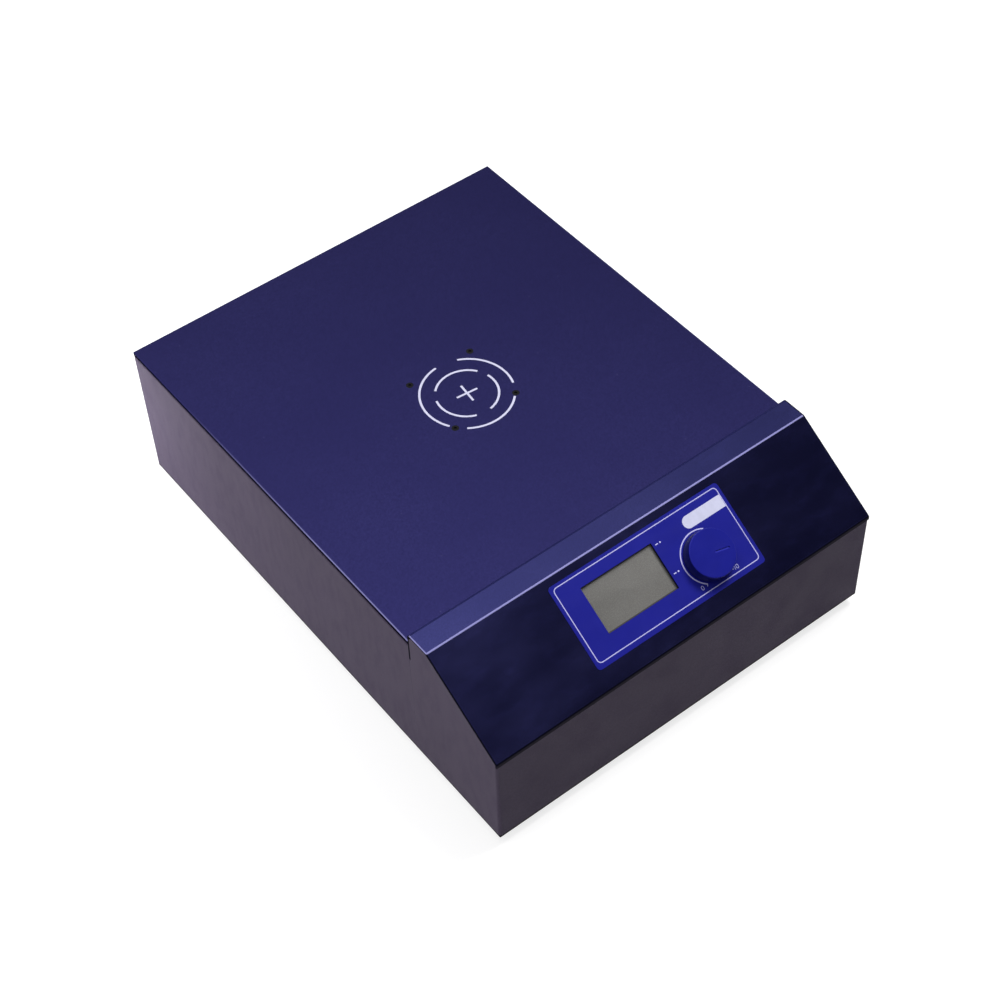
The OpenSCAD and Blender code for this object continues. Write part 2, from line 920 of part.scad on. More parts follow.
module speed_knob() {
    foot = label_t + 0.4;
    top = label_t + knob_h;
    edge = 0.7;
    inner_top = top - 1.8;
    top_r = knob_r - tan(knob_draft) * (knob_h - edge);
    color(label_blue)
        on_panel(knob_x, knob_s)
            rotate(pointer_angle)
                difference() {
                    union() {
                        difference() {
                            rotate_extrude()
                                polygon([
                                    [0, foot],
                                    [knob_r, foot],
                                    [top_r, top - edge],
                                    [top_r - edge, top],
                                    [0, top]
                                ]);
                            translate([0, 0, foot - cut])
                                cylinder(r = top_r - 1.8, h = inner_top - foot + cut);
                        }
                        rotate_extrude()
                            translate([top_r - edge, top - edge])
                                circle(edge);
                        // boss and ribs that carry the shaft's bore
                        translate([0, 0, bushing_top + slack])
                            cylinder(r = 5.2, h = inner_top - bushing_top);
                        for (turn = [45:90:315])
                            rotate(turn)
                                translate([5, -0.6, bushing_top + slack])
                                    cube([top_r - 6, 1.2, inner_top - bushing_top]);
                    }
                    translate([0, 0, foot - cut])
                        linear_extrude(shaft_top - foot + cut + 0.1)
                            d_section(pot_shaft_r + screw_gap, screw_gap);
                    // pointer groove
                    translate([7, 0, top - 0.7])
                        linear_extrude(cut + 0.7)
                            slot_2d(10.6, 1.3);
                }
}

/* ---------- motor fixing ---------- */

module plate_screws() {
    color(black_steel)
        on_drive(plate_z)
            at_motor_corners()
                difference() {
                    union() {
                        translate([0, 0, -csk_h - 0.05])
                            cylinder(r1 = plate_screw_r, r2 = csk_r, h = csk_h);
                        translate([0, 0, -10])
                            cylinder(r = plate_screw_r, h = 10 - csk_h - 0.05);
                    }
                    translate([0, 0, -1])
                        cylinder(r = 2 / sqrt(3), h = 1 + cut, $fn = 6);
                }
}

module motor_pillars() {
    color(zinc)
        on_drive(flange_top)
            at_motor_corners()
                difference() {
                    cylinder(r = 4, h = pillar_l);
                    translate([0, 0, -cut])
                        cylinder(r = plate_screw_r + screw_gap, h = 10 + cut);
                    translate([0, 0, pillar_l - 10])
                        cylinder(r = plate_screw_r + screw_gap, h = 10 + cut);
                }
}

module motor_screws() {
    color(zinc)
        on_drive(case_top)
            at_motor_corners()
                mirror([0, 0, 1])
                    pan_screw(plate_screw_r, 12, 2.8, 2);
}

/* ---------- motor ---------- */

module motor_flange() {
    boss_r = 14;
    seat_z = race_top_z[0] - race_l;
    color(zinc)
        on_drive(0)
            difference() {
                union() {
                    translate([0, 0, case_top])
                        linear_extrude(flange_t)
                            round_rect(60, 60, 5);
                    translate([0, 0, seat_z])
                        cylinder(r = boss_r, h = flange_top - seat_z);
                }
                translate([0, 0, seat_z - cut])
                    cylinder(r = race_out_r, h = race_l + cut);
                translate([0, 0, seat_z])
                    cylinder(r = race_out_r - 1.5, h = flange_top);
                at_motor_corners()
                    translate([0, 0, case_top - cut])
                        cylinder(r = 1.6, h = flange_t + 2 * cut);
            }
}

module motor_case() {
    color([0.16, 0.16, 0.17])
        on_drive(case_bottom)
            tube(case_r, case_r - case_t, case_l);
}

module motor_end_cap() {
    seat_top = race_top_z[1];
    color(zinc)
        on_drive(0)
            difference() {
                union() {
                    translate([0, 0, case_bottom - cap_t])
                        cylinder(r = case_r, h = cap_t);
                    translate([0, 0, case_bottom])
                        cylinder(r = 14, h = seat_top - case_bottom);
                    // the three sensor leads' outlet
                    translate([-case_r - 3, -5, case_bottom - cap_t])
                        cube([6, 10, cap_t]);
                }
                translate([0, 0, seat_top - race_l])
                    cylinder(r = race_out_r, h = race_l + cut);
                translate([0, 0, case_bottom - cap_t - cut])
                    cylinder(r = race_out_r - 1.5, h = cap_t + race_l);
            }
}

// One slot between two teeth: a narrow mouth at the bore that widens to a wedge.
module stator_slot() {
    outer = case_r - case_t - 3.5;
    half = 180 / slot_count;
    narrow = half - 6.5;
    translate([0, -0.9])
        square([stator_bore + 2.5, 1.8]);
    polygon([
        [(stator_bore + 1.6) * cos(narrow), (stator_bore + 1.6) * sin(narrow)],
        [outer * cos(half - 4), outer * sin(half - 4)],
        [outer * cos(half - 4), -outer * sin(half - 4)],
        [(stator_bore + 1.6) * cos(narrow), -(stator_bore + 1.6) * sin(narrow)]
    ]);
}

module stator_core() {
    color([0.38, 0.38, 0.40])
        on_drive(stator_z)
            linear_extrude(stator_l)
                difference() {
                    circle(case_r - case_t - fit_gap);
                    circle(stator_bore);
                    for (i = [0:slot_count - 1])
                        rotate(360 / slot_count * i)
                            stator_slot();
                }
}

// Copper in each slot, with its end turns standing above and below the core.
module stator_windings() {
    end_l = 2.5;
    color(copper)
        on_drive(stator_z - end_l)
            for (i = [0:slot_count - 1])
                rotate(360 / slot_count * i)
                    linear_extrude(stator_l + 2 * end_l)
                        translate([(stator_bore + case_r - case_t) / 2 - 0.9, 0])
                            square([2.4, 4.2], center = true);
}

module outer_races() {
    color(magnet_nickel)
        for (z = race_top_z)
            on_drive(z - race_l)
                difference() {
                    tube(race_out_r, race_out_in_r - 0.4, race_l);
                    translate([0, 0, race_l / 2])
                        rotate_extrude()
                            translate([ball_track_r, 0])
                                circle(ball_r + fit_gap);
                }
}

module bearing_balls() {
    color(zinc)
        for (z = race_top_z, i = [0:ball_count - 1])
            on_drive(z - race_l / 2)
                rotate(360 / ball_count * i)
                    translate([ball_track_r, 0, 0])
                        sphere(ball_r);
}

/* ---------- turning parts of the drive ---------- */

shaft_low = case_bottom - cap_t + 1.2;
shaft_high = holder_top - 3;

module drive_shaft() {
    color(zinc)
        on_drive(shaft_low) {
            cylinder(r = shaft_r, h = shaft_high - shaft_low - 0.6);
            translate([0, 0, shaft_high - shaft_low - 0.6])
                cylinder(r1 = shaft_r, r2 = shaft_r - 0.6, h = 0.6);
        }
}

module inner_races() {
    color(magnet_nickel)
        for (z = race_top_z)
            on_drive(z - race_l)
                difference() {
                    tube(race_in_out_r + 0.4, shaft_r, race_l);
                    translate([0, 0, race_l / 2])
                        rotate_extrude()
                            translate([ball_track_r, 0])
                                circle(ball_r + fit_gap);
                }
}

module rotor_core() {
    color([0.38, 0.38, 0.40])
        on_drive(stator_z)
            linear_extrude(stator_l)
                difference() {
                    circle(rotor_r);
                    circle(shaft_r);
                    for (turn = [0:60:300])
                        rotate(turn)
                            translate([9.5, 0])
                                circle(2.4);
                }
}

module rotor_magnets() {
    pole_a = 40;
    color(magnet_nickel)
        on_drive(stator_z)
            for (turn = [0:45:315])
                rotate(turn)
                    linear_extrude(stator_l)
                        intersection() {
                            difference() {
                                circle(rotor_r + rotor_magnet_t);
                                circle(rotor_r);
                            }
                            polygon([
                                [0, 0],
                                [30 * cos(pole_a / 2), -30 * sin(pole_a / 2)],
                                [30 * cos(pole_a / 2), 30 * sin(pole_a / 2)]
                            ]);
                        }
}

module magnet_holder() {
    arm_r = magnet_r + 2.6;
    color([0.80, 0.81, 0.83])
        on_drive(holder_top - holder_t)
            difference() {
                union() {
                    for (side = [-1, 1])
                        translate([side * magnet_x, 0, 0])
                            cylinder(r = arm_r, h = holder_t);
                    translate([-magnet_x, -8, 0])
                        cube([2 * magnet_x, 16, holder_t]);
                    translate([0, 0, -hub_l])
                        cylinder(r = hub_r, h = hub_l + holder_t);
                }
                for (side = [-1, 1])
                    translate([side * magnet_x, 0, holder_t - magnet_l - 0.5])
                        cylinder(r = magnet_r + screw_gap, h = magnet_l + cut);
                translate([0, 0, -hub_l - cut])
                    cylinder(r = shaft_r, h = hub_l + holder_t + 2 * cut);
                translate([0, 0, -hub_l / 2])
                    rotate([0, 90, 0])
                        cylinder(r = 2, h = hub_r + cut);
            }
}

module drive_magnets() {
    color(magnet_nickel)
        on_drive(holder_top - magnet_l - 0.5)
            for (side = [-1, 1])
                translate([side * magnet_x, 0, 0])
                    difference() {
                        cylinder(r = magnet_r, h = magnet_l);
                        // a shallow dimple marks the pole that faces up
                        translate([0, 0, magnet_l - 0.4])
                            cylinder(r = 1.5, h = cut);
                    }
}

module hub_screw() {
    color(black_steel)
        on_drive(holder_top - holder_t - hub_l / 2)
            rotate([0, 90, 0])
                translate([0, 0, shaft_r])
                    difference() {
                        cylinder(r = 2 - screw_gap, h = hub_r - shaft_r - 0.5);
                        translate([0, 0, hub_r - shaft_r - 2.5])
                            cylinder(r = 2 / sqrt(3), h = 3, $fn = 6);
                    }
}

/* ---------- power entry ---------- */

inlet_flange = [50, 37];
flange_proud = 2.5;
inlet_body = [28, 32];
inlet_body_l = 27;
socket_size = [24.6, 16.8];
socket_deep = 16;
socket_at = 6.6;        // the socket's middle above the inlet's middle
drawer_size = [23.6, 8.2];
drawer_deep = 20;
drawer_at = -10;
drawer_lip = 0.8;       // how far the drawer's face stands proud of the flange
pin_places = [[-7, socket_at - 2.2], [7, socket_at - 2.2], [0, socket_at + 2.2]];

// Outline of the mains socket: a rectangle with its two upper corners cut off.
module socket_outline() {
    x = socket_size.x / 2;
    y = socket_size.y / 2;
    c = 5;
    polygon([[-x, -y], [x, -y], [x, y - c], [x - c, y], [c - x, y], [-x, y - c]]);
}

module inlet_blade(p) {
    translate([p.x - 1, p.y - 2, -inlet_body_l])
        cube([2, 4, inlet_body_l - 1.5]);
}

module mains_inlet() {
    color(black_plastic)
        on_back(inlet_x, entry_h)
            difference() {
                union() {
                    linear_extrude(flange_proud)
                        round_rect(inlet_flange.x, inlet_flange.y, 6);
                    translate([0, 0, -inlet_body_l])
                        linear_extrude(inlet_body_l)
                            round_rect(inlet_body.x, inlet_body.y, 1);
                }
                translate([0, socket_at, flange_proud - socket_deep])
                    linear_extrude(socket_deep + cut)
                        socket_outline();
                translate([0, drawer_at, flange_proud - drawer_deep - slack])
                    linear_extrude(drawer_deep + slack + cut)
                        square(drawer_size + [0.6, 0.6], center = true);
                for (p = pin_places)
                    inlet_blade(p);
                for (side = [-1, 1])
                    translate([side * inlet_ear, 0, 0]) {
                        translate([0, 0, -cut])
                            cylinder(r = 1.7, h = flange_proud + 2 * cut);
                        translate([0, 0, flange_proud - 1.6])
                            cylinder(r1 = 1.7, r2 = 3.4, h = 1.7);
                    }
            }
}

module inlet_pins() {
    color(brass)
        on_back(inlet_x, entry_h)
            for (p = pin_places) {
                inlet_blade(p);
                // solder tag behind the moulding
                translate([p.x - 0.4, p.y - 2.4, -inlet_body_l - 8])
                    difference() {
                        cube([0.8, 4.8, 8]);
                        translate([-cut, 2.4, 3])
                            rotate([0, 90, 0])
                                cylinder(r = 0.8, h = 3);
                    }
            }
}

module inlet_screws() {
    color(zinc)
        on_back(inlet_x, entry_h)
            for (side = [-1, 1])
                translate([side * inlet_ear, 0, 0]) {
                    difference() {
                        union() {
                            translate([0, 0, flange_proud - 1.6])
                                cylinder(r1 = 1.5, r2 = 3, h = 1.5);
                            translate([0, 0, -6])
                                cylinder(r = 1.5, h = 6 + flange_proud - 1.6);
                        }
                        for (turn = [0, 90])
                            rotate(turn)
                                translate([-1.6, -0.3, flange_proud - 1])
                                    cube([3.2, 0.6, cut + 1]);
                    }
                    translate([0, 0, -wall_t - 2.4])
                        hex_nut(5.5, 1.5 + screw_gap, 2.4);
                }
}

fuse_r = 2.6;
fuse_l = 20;
fuse_deep = [5.5, 13];      // each fuse's distance in from the flange

module fuse_drawer() {
    color(black_plastic)
        on_back(inlet_x, entry_h)
            translate([0, drawer_at, 0])
                difference() {
                    translate([0, 0, flange_proud - drawer_deep])
                        linear_extrude(drawer_deep + drawer_lip - 0.8)
                            square(drawer_size, center = true);
                    for (in = fuse_deep)
                        translate([-fuse_l / 2 - 0.2, 1, flange_proud - in])
                            rotate([0, 90, 0]) {
                                cylinder(r = fuse_r + fit_gap, h = fuse_l + 0.4);
                                translate([-fuse_r - fit_gap, 0, 0])
                                    cube([2 * (fuse_r + fit_gap), 4, fuse_l + 0.4]);
                            }
                    // finger notch under the drawer's face
                    translate([0, -drawer_size.y / 2, flange_proud - 1.2])
                        rotate([0, 90, 0])
                            cylinder(r = 1.2, h = 9, center = true);
                }
}

module fuses() {
    color(magnet_nickel)
        on_back(inlet_x, entry_h)
            for (in = fuse_deep)
                translate([-fuse_l / 2, drawer_at + 1, flange_proud - in])
                    rotate([0, 90, 0]) {
                        cylinder(r = fuse_r, h = 5);
                        translate([0, 0, 5])
                            cylinder(r = fuse_r - 0.3, h = fuse_l - 10);
                        translate([0, 0, fuse_l - 5])
                            cylinder(r = fuse_r, h = 5);
                    }
}

switch_bezel = [16, 22.5];
switch_body = [13, 19.2];
switch_well = [11.6, 17.4];
switch_body_l = 17;
rocker_w = 11;
trunnion_r = 1.2;

module switch_housing() {
    color(black_plastic)
        on_back(switch_x, entry_h)
            difference() {
                union() {
                    linear_extrude(1.8)
                        round_rect(switch_bezel.x, switch_bezel.y, 1.5);
                    translate([0, 0, -switch_body_l])
                        linear_extrude(switch_body_l)
                            square(switch_body, center = true);
                }
                translate([0, 0, -8])
                    linear_extrude(10)
                        square(switch_well, center = true);
                translate([0, 0, rocker_pivot])
                    rotate([0, 90, 0])
                        cylinder(r = trunnion_r + fit_gap, h = switch_body.x - 0.4, center = true);
            }
}

// Rocker's side view: two shallow faces over a round foot on the pivot.
module rocker_side() {
    circle(3.2);
    polygon([
        [-rocker_half, rocker_rise],
        [0, rocker_rise - 0.9],
        [rocker_half, rocker_rise],
        [rocker_half + 0.2, 3.4],
        [2.6, -1.8],
        [-2.6, -1.8],
        [-rocker_half - 0.2, 3.4]
    ]);
}

module switch_rocker() {
    color(black_plastic)
        on_back(switch_x, entry_h)
            translate([0, 0, rocker_pivot])
                rotate([rocker_tilt, 0, 0]) {
                    across(rocker_w)
                        rocker_side();
                    rotate([0, 90, 0])
                        cylinder(r = trunnion_r, h = switch_body.x - 0.8, center = true);
                }
}

module switch_tabs() {
    color(brass)
        on_back(switch_x, entry_h)
            for (v = [-5, 5])
                translate([-3.1, v - 0.4, -switch_body_l - 8])
                    cube([6.2, 0.8, 8]);
}

module earth_stud() {
    color(brass)
        translate([earth_at.x, earth_at.y, 0]) {
            translate([0, 0, base_z + wall_t])
                cylinder(r = 2, h = base_t + 12);
            translate([0, 0, floor_z])
                hex_nut(7, 2 + screw_gap, 3);
            // ring terminal with its crimp barrel
            translate([0, 0, floor_z + 3])
                difference() {
                    union() {
                        cylinder(r = 4, h = 0.8);
                        translate([-1.8, -11, 0])
                            cube([3.6, 11, 0.8]);
                    }
                    translate([0, 0, -cut])
                        cylinder(r = 2 + screw_gap, h = 3);
                }
            translate([0, 0, floor_z + 3.8])
                hex_nut(7, 2 + screw_gap, 3);
        }
}

/* ---------- electronics ---------- */

spacer_l = 8;
board_z = floor_z + spacer_l;

module circuit_board(at, size) {
    color(board_green)
        translate([0, 0, board_z])
            linear_extrude(board_t)
                difference() {
                    translate(at)
                        round_rect(size.x, size.y, 2);
                    for (p = board_corners(at, size))
                        translate(p)
                            circle(1.6);
                }
}

module control_board() {
    circuit_board(control_board_at, control_board_size);
}

module supply_board() {
    circuit_board(supply_board_at, supply_board_size);
}

// Extruded heat sink standing on its foot: fins rise along +Z.
module heat_sink(w, l, h, fins) {
    pitch = (w - 1.2) / (fins - 1);
    translate([-w / 2, -l / 2, 0])
        cube([w, l, 3]);
    for (i = [0:fins - 1])
        translate([-w / 2 + i * pitch, -l / 2, 0])
            cube([1.2, l, h]);
}

// Row of header pins in a moulded shroud.
module header(count) {
    difference() {
        translate([-count * 1.27 - 1, -3, 0])
            cube([count * 2.54 + 2, 6, 8]);
        translate([-count * 1.27, -2, 2])
            cube([count * 2.54, 4, 8]);
    }
}

module board_parts() {
    translate([control_board_at.x, control_board_at.y, board_z + board_t]) {
        color([0.70, 0.71, 0.73])
            translate([19, 10, 0])
                heat_sink(26, 50, 22, 9);
        color(black_plastic) {
            translate([-22, 10, 0])
                cube([14, 14, 2], center = false);
            for (i = [0:2])
                translate([-30 + i * 12, -16, 0])
                    cube([7, 10, 4]);
            translate([-6, 40, 0])
                header(6);
            translate([ribbon_x - control_board_at.x, -36, 0])
                header(8);
        }
        color([0.15, 0.20, 0.42])
            for (i = [0:2])
                translate([-32 + i * 12, 38, 0])
                    cylinder(r = 5, h = 20);
    }
}

module supply_parts() {
    translate([supply_board_at.x, supply_board_at.y, board_z + board_t]) {
        // switching transformer: ferrite core round a taped winding
        color([0.25, 0.25, 0.27])
            translate([-16, -16, 0])
                difference() {
                    cube([32, 30, 27]);
                    translate([5, -cut, 4])
                        cube([22, 32, 19]);
                }
        color([0.85, 0.72, 0.30])
            translate([-11 + fit_gap, -19, 4 + fit_gap])
                cube([22 - 2 * fit_gap, 36, 19 - 2 * fit_gap]);
        color([0.15, 0.20, 0.42]) {
            translate([20, -42, 0])
                cylinder(r = 9, h = 30);
            for (side = [-1, 1])
                translate([-20 + side * 6.5, 44, 0])
                    cylinder(r = 5, h = 20);
        }
        color([0.70, 0.71, 0.73])
            translate([-19, -42, 0])
                heat_sink(10, 26, 26, 4);
        color(black_plastic) {
            translate([14, 46, 0])
                header(4);
            translate([22, 24, 0])
                cube([9, 16, 12]);
        }
    }
}

// Hexagon spacer under each board corner, with the screws above and below it.
module board_spacers() {
    color(brass)
        for (p = spacer_places)
            translate([p.x, p.y, 0]) {
                translate([0, 0, floor_z])
                    cylinder(r = 5.5 / sqrt(3), h = spacer_l, $fn = 6);
                translate([0, 0, board_z - cut])
                    cylinder(r = 1.5, h = board_t + cut);
                translate([0, 0, board_z + board_t])
                    cylinder(r = 2.8, h = 1.8);
                translate([0, 0, floor_z - base_t])
                    cylinder(r = 1.5, h = base_t);
            }
}

/* ---------- wiring ---------- */

lead_r = 1.1;
tag_y = back_y - inlet_body_l - 8;
switch_tag_y = back_y - switch_body_l - 8;
entry_z = base_z + entry_h;
parts_z = board_z + board_t;

module mains_leads() {
    pin_z = entry_z + pin_places[0].y;
    plug = [supply_board_at.x + 14, supply_board_at.y + 46, parts_z + 3];
    color([0.35, 0.20, 0.12]) {
        // live: inlet to switch, then switch to the supply
        lead([
            [inlet_x - 7, tag_y - lap, pin_z],
            [inlet_x - 9, tag_y - 12, pin_z + 2],
            [inlet_x - 24, tag_y - 20, pin_z + 6],
            [switch_x + 8, tag_y - 13, entry_z + 9],
            [switch_x, switch_tag_y - 12, entry_z + 5.5],
            [switch_x, switch_tag_y - lap, entry_z + 5]
        ], lead_r);
        lead([
            [switch_x, switch_tag_y - lap, entry_z - 5],
            [switch_x + 1, switch_tag_y - 14, entry_z - 6],
            [switch_x + 20, back_y - 58, entry_z - 8],
            plug + [-8, 14, 17],
            plug + [-3, 2, 10],
            plug + [-3, 0, 0]
        ], lead_r);
        // neutral: inlet to the supply
        lead([
            [inlet_x + 7, tag_y - lap, pin_z],
            [inlet_x + 8, tag_y - 14, pin_z - 3],
            [inlet_x + 11, back_y - 64, entry_z - 4],
            plug + [5, 13, 19],
            plug + [3, 2, 10],
            plug + [3, 0, 0]
        ], lead_r);
    }
}

module earth_lead() {
    pin_z = entry_z + pin_places[2].y;
    crimp = [earth_at.x, earth_at.y - 11 - lap, floor_z + 3 + 0.4];
    color([0.45, 0.65, 0.15])
        lead([
            [inlet_x, tag_y - lap, pin_z],
            [inlet_x - 1, tag_y - 13, pin_z - 2],
            [inlet_x - 9, tag_y - 23, pin_z - 15],
            [inlet_x - 22, tag_y - 25, pin_z - 31],
            crimp + [2, -11, 4],
            crimp
        ], lead_r);
}

module supply_lead() {
    start = supply_board_at + [-25, 53.5];
    end = control_board_at + [32, 48];
    color([0.60, 0.08, 0.08])
        for (side = [-1, 1])
            lead([
                [start.x, start.y + side * 1.6, parts_z + slack / 2],
                [start.x - 0.5, start.y + side * 1.6, parts_z + 6],
                [start.x - 8, start.y + side * 1.6, parts_z + 13],
                [start.x - 43, start.y + 5 + side * 1.6, parts_z + 15],
                [end.x + 36, end.y + 5 + side * 1.6, parts_z + 15],
                [end.x + 8, end.y + side * 1.6, parts_z + 13],
                [end.x + 0.5, end.y + side * 1.6, parts_z + 6],
                [end.x, end.y + side * 1.6, parts_z + slack / 2]
            ], lead_r);
}

module motor_lead() {
    start = [-case_r - 3 - slack / 2, drive_y, case_bottom - cap_t / 2];
    foot = [control_board_at.x + 39, drive_y + 8.5];
    color([0.15, 0.15, 0.16])
        for (side = [-1, 0, 1])
            lead([
                [start.x, start.y + side * 3, start.z],
                [start.x - 3, start.y + side * 3, start.z],
                [start.x - 7, start.y + 4 + side * 3, start.z - 3],
                [foot.x + 0.5, foot.y + side * 3, parts_z + 8],
                [foot.x, foot.y + side * 3, parts_z + slack / 2]
            ], lead_r);
}

// Flat ribbon from the control board's front header up to the display board.
module display_lead() {
    ribbon_w = 16;
    ribbon_t = 0.9;
    start = [control_board_at.y - 36, parts_z + 2.2];
    drop = display_top - board_t - socket_h - slack;
    end = [
        front_y + socket_s * cos(slope_a) - drop * sin(slope_a),
        base_z + front_h + socket_s * sin(slope_a) + drop * cos(slope_a)
    ];
    path = curve([
        start,
        start + [0, 14],
        start + [-20, 30],
        end + [52, -36],
        end + [10, -16],
        end
    ], 5);
    last = len(path) - 1;
    half = [
        for (i = [0:last])
            let (t = unit(path[min(i + 1, last)] - path[max(i - 1, 0)]))
            [-t.y, t.x] * ribbon_t / 2
    ];
    color([0.55, 0.56, 0.58])
        translate([ribbon_x, 0, 0])
            across(ribbon_w)
                polygon(concat(
                    [for (i = [0:last]) path[i] + half[i]],
                    [for (i = [last:-1:0]) path[i] - half[i]]
                ));
}

/* ---------- feet ---------- */

foot_top = base_z + wall_t;
foot_recess_r = 5.2;
foot_recess_h = 5.2;

module foot(i) {
    color(black_plastic)
        translate(concat(foot_places[i], [0]))
            rotate_extrude()
                polygon([
                    [foot_recess_r, 0],
                    [foot_r - 0.6, 0],
                    [foot_r, 0.6],
                    [foot_r + 1.5, foot_top],
                    [2.2, foot_top],
                    [2.2, foot_recess_h],
                    [foot_recess_r, foot_recess_h]
                ]);
}

module foot_screws() {
    shank_l = floor_z + nut_h + 1 - foot_recess_h;
    color(zinc)
        for (p = foot_places)
            translate(concat(p, [0])) {
                translate([0, 0, foot_recess_h])
                    mirror([0, 0, 1])
                        pan_screw(stud_r, shank_l, 4, 2.6);
                translate([0, 0, floor_z])
                    hex_nut(nut_af, stud_r + screw_gap, nut_h);
            }
}

/* ---------- assembly ---------- */

rear_shell();
front_housing();
base_plate();
top_plate();
plate_gasket();
plate_studs();
plate_nuts();
cross_rail();
control_panel();
panel_label();
lcd_window();
lcd_glass();
display_board();
display_fixings();
pot_case();
pot_nut();
pot_shaft();
speed_knob();
plate_screws();
motor_pillars();
motor_screws();
motor_flange();
motor_case();
motor_end_cap();
stator_core();
stator_windings();
outer_races();
bearing_balls();
drive_shaft();
rotor_core();
rotor_magnets();
inner_races();
magnet_holder();
drive_magnets();
hub_screw();
mains_inlet();
inlet_pins();
inlet_screws();
fuse_drawer();
fuses();
switch_housing();
switch_rocker();
switch_tabs();
earth_stud();
control_board();
board_parts();
supply_board();
supply_parts();
board_spacers();
mains_leads();
earth_lead();
supply_lead();
motor_lead();
display_lead();
foot(0);  // foot_front_left
foot(1);  // foot_front_right
foot(2);  // foot_back_left
foot(3);  // foot_back_right
foot_screws();
body_screws();
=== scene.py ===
import math

import bmesh
import bpy
from mathutils import Matrix, Vector


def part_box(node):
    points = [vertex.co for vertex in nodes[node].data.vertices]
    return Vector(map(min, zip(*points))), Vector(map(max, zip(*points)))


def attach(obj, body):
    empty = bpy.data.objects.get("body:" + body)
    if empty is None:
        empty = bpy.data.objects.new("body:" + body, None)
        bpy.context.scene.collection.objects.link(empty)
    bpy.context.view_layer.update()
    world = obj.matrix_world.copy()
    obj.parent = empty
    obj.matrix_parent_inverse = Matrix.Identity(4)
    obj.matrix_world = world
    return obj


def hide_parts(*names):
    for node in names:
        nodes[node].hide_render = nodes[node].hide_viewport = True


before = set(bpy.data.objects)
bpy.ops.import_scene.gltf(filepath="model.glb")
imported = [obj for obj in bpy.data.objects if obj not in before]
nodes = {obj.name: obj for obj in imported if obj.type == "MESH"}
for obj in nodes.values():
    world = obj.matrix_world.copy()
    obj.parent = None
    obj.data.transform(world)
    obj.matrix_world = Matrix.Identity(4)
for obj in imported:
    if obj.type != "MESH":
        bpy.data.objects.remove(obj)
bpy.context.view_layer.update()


# ---------------------------------------------------------------- camera
# A product camera on a stand, in front of the left corner and well above the plate.
# The lens is a short telephoto, so the body's sides draw together only a little.
camera_data = bpy.data.cameras.new("camera")
camera_data.sensor_width = 36
camera_data.lens = 73.31
camera = bpy.data.objects.new("camera", camera_data)
bpy.context.scene.collection.objects.link(camera)
camera_right = Vector((0.78845, -0.61449, -0.02748))
camera_down = Vector((-0.47906, -0.58543, -0.65405))
camera_ahead = Vector((0.38582, 0.52885, -0.75595))
turn = Matrix((camera_right, -camera_down, -camera_ahead)).transposed()
body_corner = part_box("front_housing")[0]
body_left, body_front, body_low = body_corner
stand = body_corner + Vector((-0.3787, -0.5335, 1.0699))
camera.matrix_world = Matrix.Translation(stand) @ turn.to_4x4()
bpy.context.scene.camera = camera
bpy.context.scene.view_settings.view_transform = "Standard"


# ---------------------------------------------------------------- light and floor
# A white sweep under the object and a broad soft ceiling light behind it, with three soft
# boxes: one low at the back left, a weak one at the left, and one overhead at the right. The
# front of the studio is left dark, so the sloping panel has little to reflect.
def feed(tree, socket, value):
    """Links a socket to another one, or sets it to a number, a direction or a colour."""
    if isinstance(value, bpy.types.NodeSocket):
        tree.links.new(value, socket)
    elif isinstance(value, tuple):
        socket.default_value = (*value, 1)
    else:
        socket.default_value = value


def operate(tree, kind, operation, *values):
    """A math node of the given kind over sockets and plain values."""
    node = tree.nodes.new(kind)
    node.operation = operation
    for socket, value in zip(node.inputs, values):
        feed(tree, socket, value)
    return node.outputs


def product(tree, one, other):
    return operate(tree, "ShaderNodeMath", "MULTIPLY", one, other)["Value"]


def greatest(tree, *masks):
    found = masks[0]
    for mask in masks[1:]:
        found = operate(tree, "ShaderNodeMath", "MAXIMUM", found, mask)["Value"]
    return found


def dot(tree, one, other):
    return operate(tree, "ShaderNodeVectorMath", "DOT_PRODUCT", one, other)["Value"]


def here(tree, space="Object"):
    """The point that is shaded, in the given space."""
    return tree.nodes.new("ShaderNodeTexCoord").outputs[space]


def coordinate(tree, axis, space="Object"):
    split = tree.nodes.new("ShaderNodeSeparateXYZ")
    tree.links.new(here(tree, space), split.inputs["Vector"])
    return split.outputs[axis]


def ramp(tree, source, low, high, start=0.0, end=1.0):
    """Stretches a value from low..high to start..end, clamped."""
    node = tree.nodes.new("ShaderNodeMapRange")
    for label, value in (("Value", source), ("From Min", low), ("From Max", high),
                         ("To Min", start), ("To Max", end)):
        feed(tree, node.inputs[label], value)
    return node.outputs["Result"]


def seen(tree):
    """1 for what the lens sees by itself, in a mirror or through something clear."""
    paths = tree.nodes.new("ShaderNodeLightPath")
    rays = ("Is Camera Ray", "Is Glossy Ray", "Is Transmission Ray")
    return greatest(tree, *(paths.outputs[ray] for ray in rays))


world = bpy.data.worlds.new("studio")
bpy.context.scene.world = world
world.use_nodes = True
tree = world.node_tree
tree.nodes.clear()
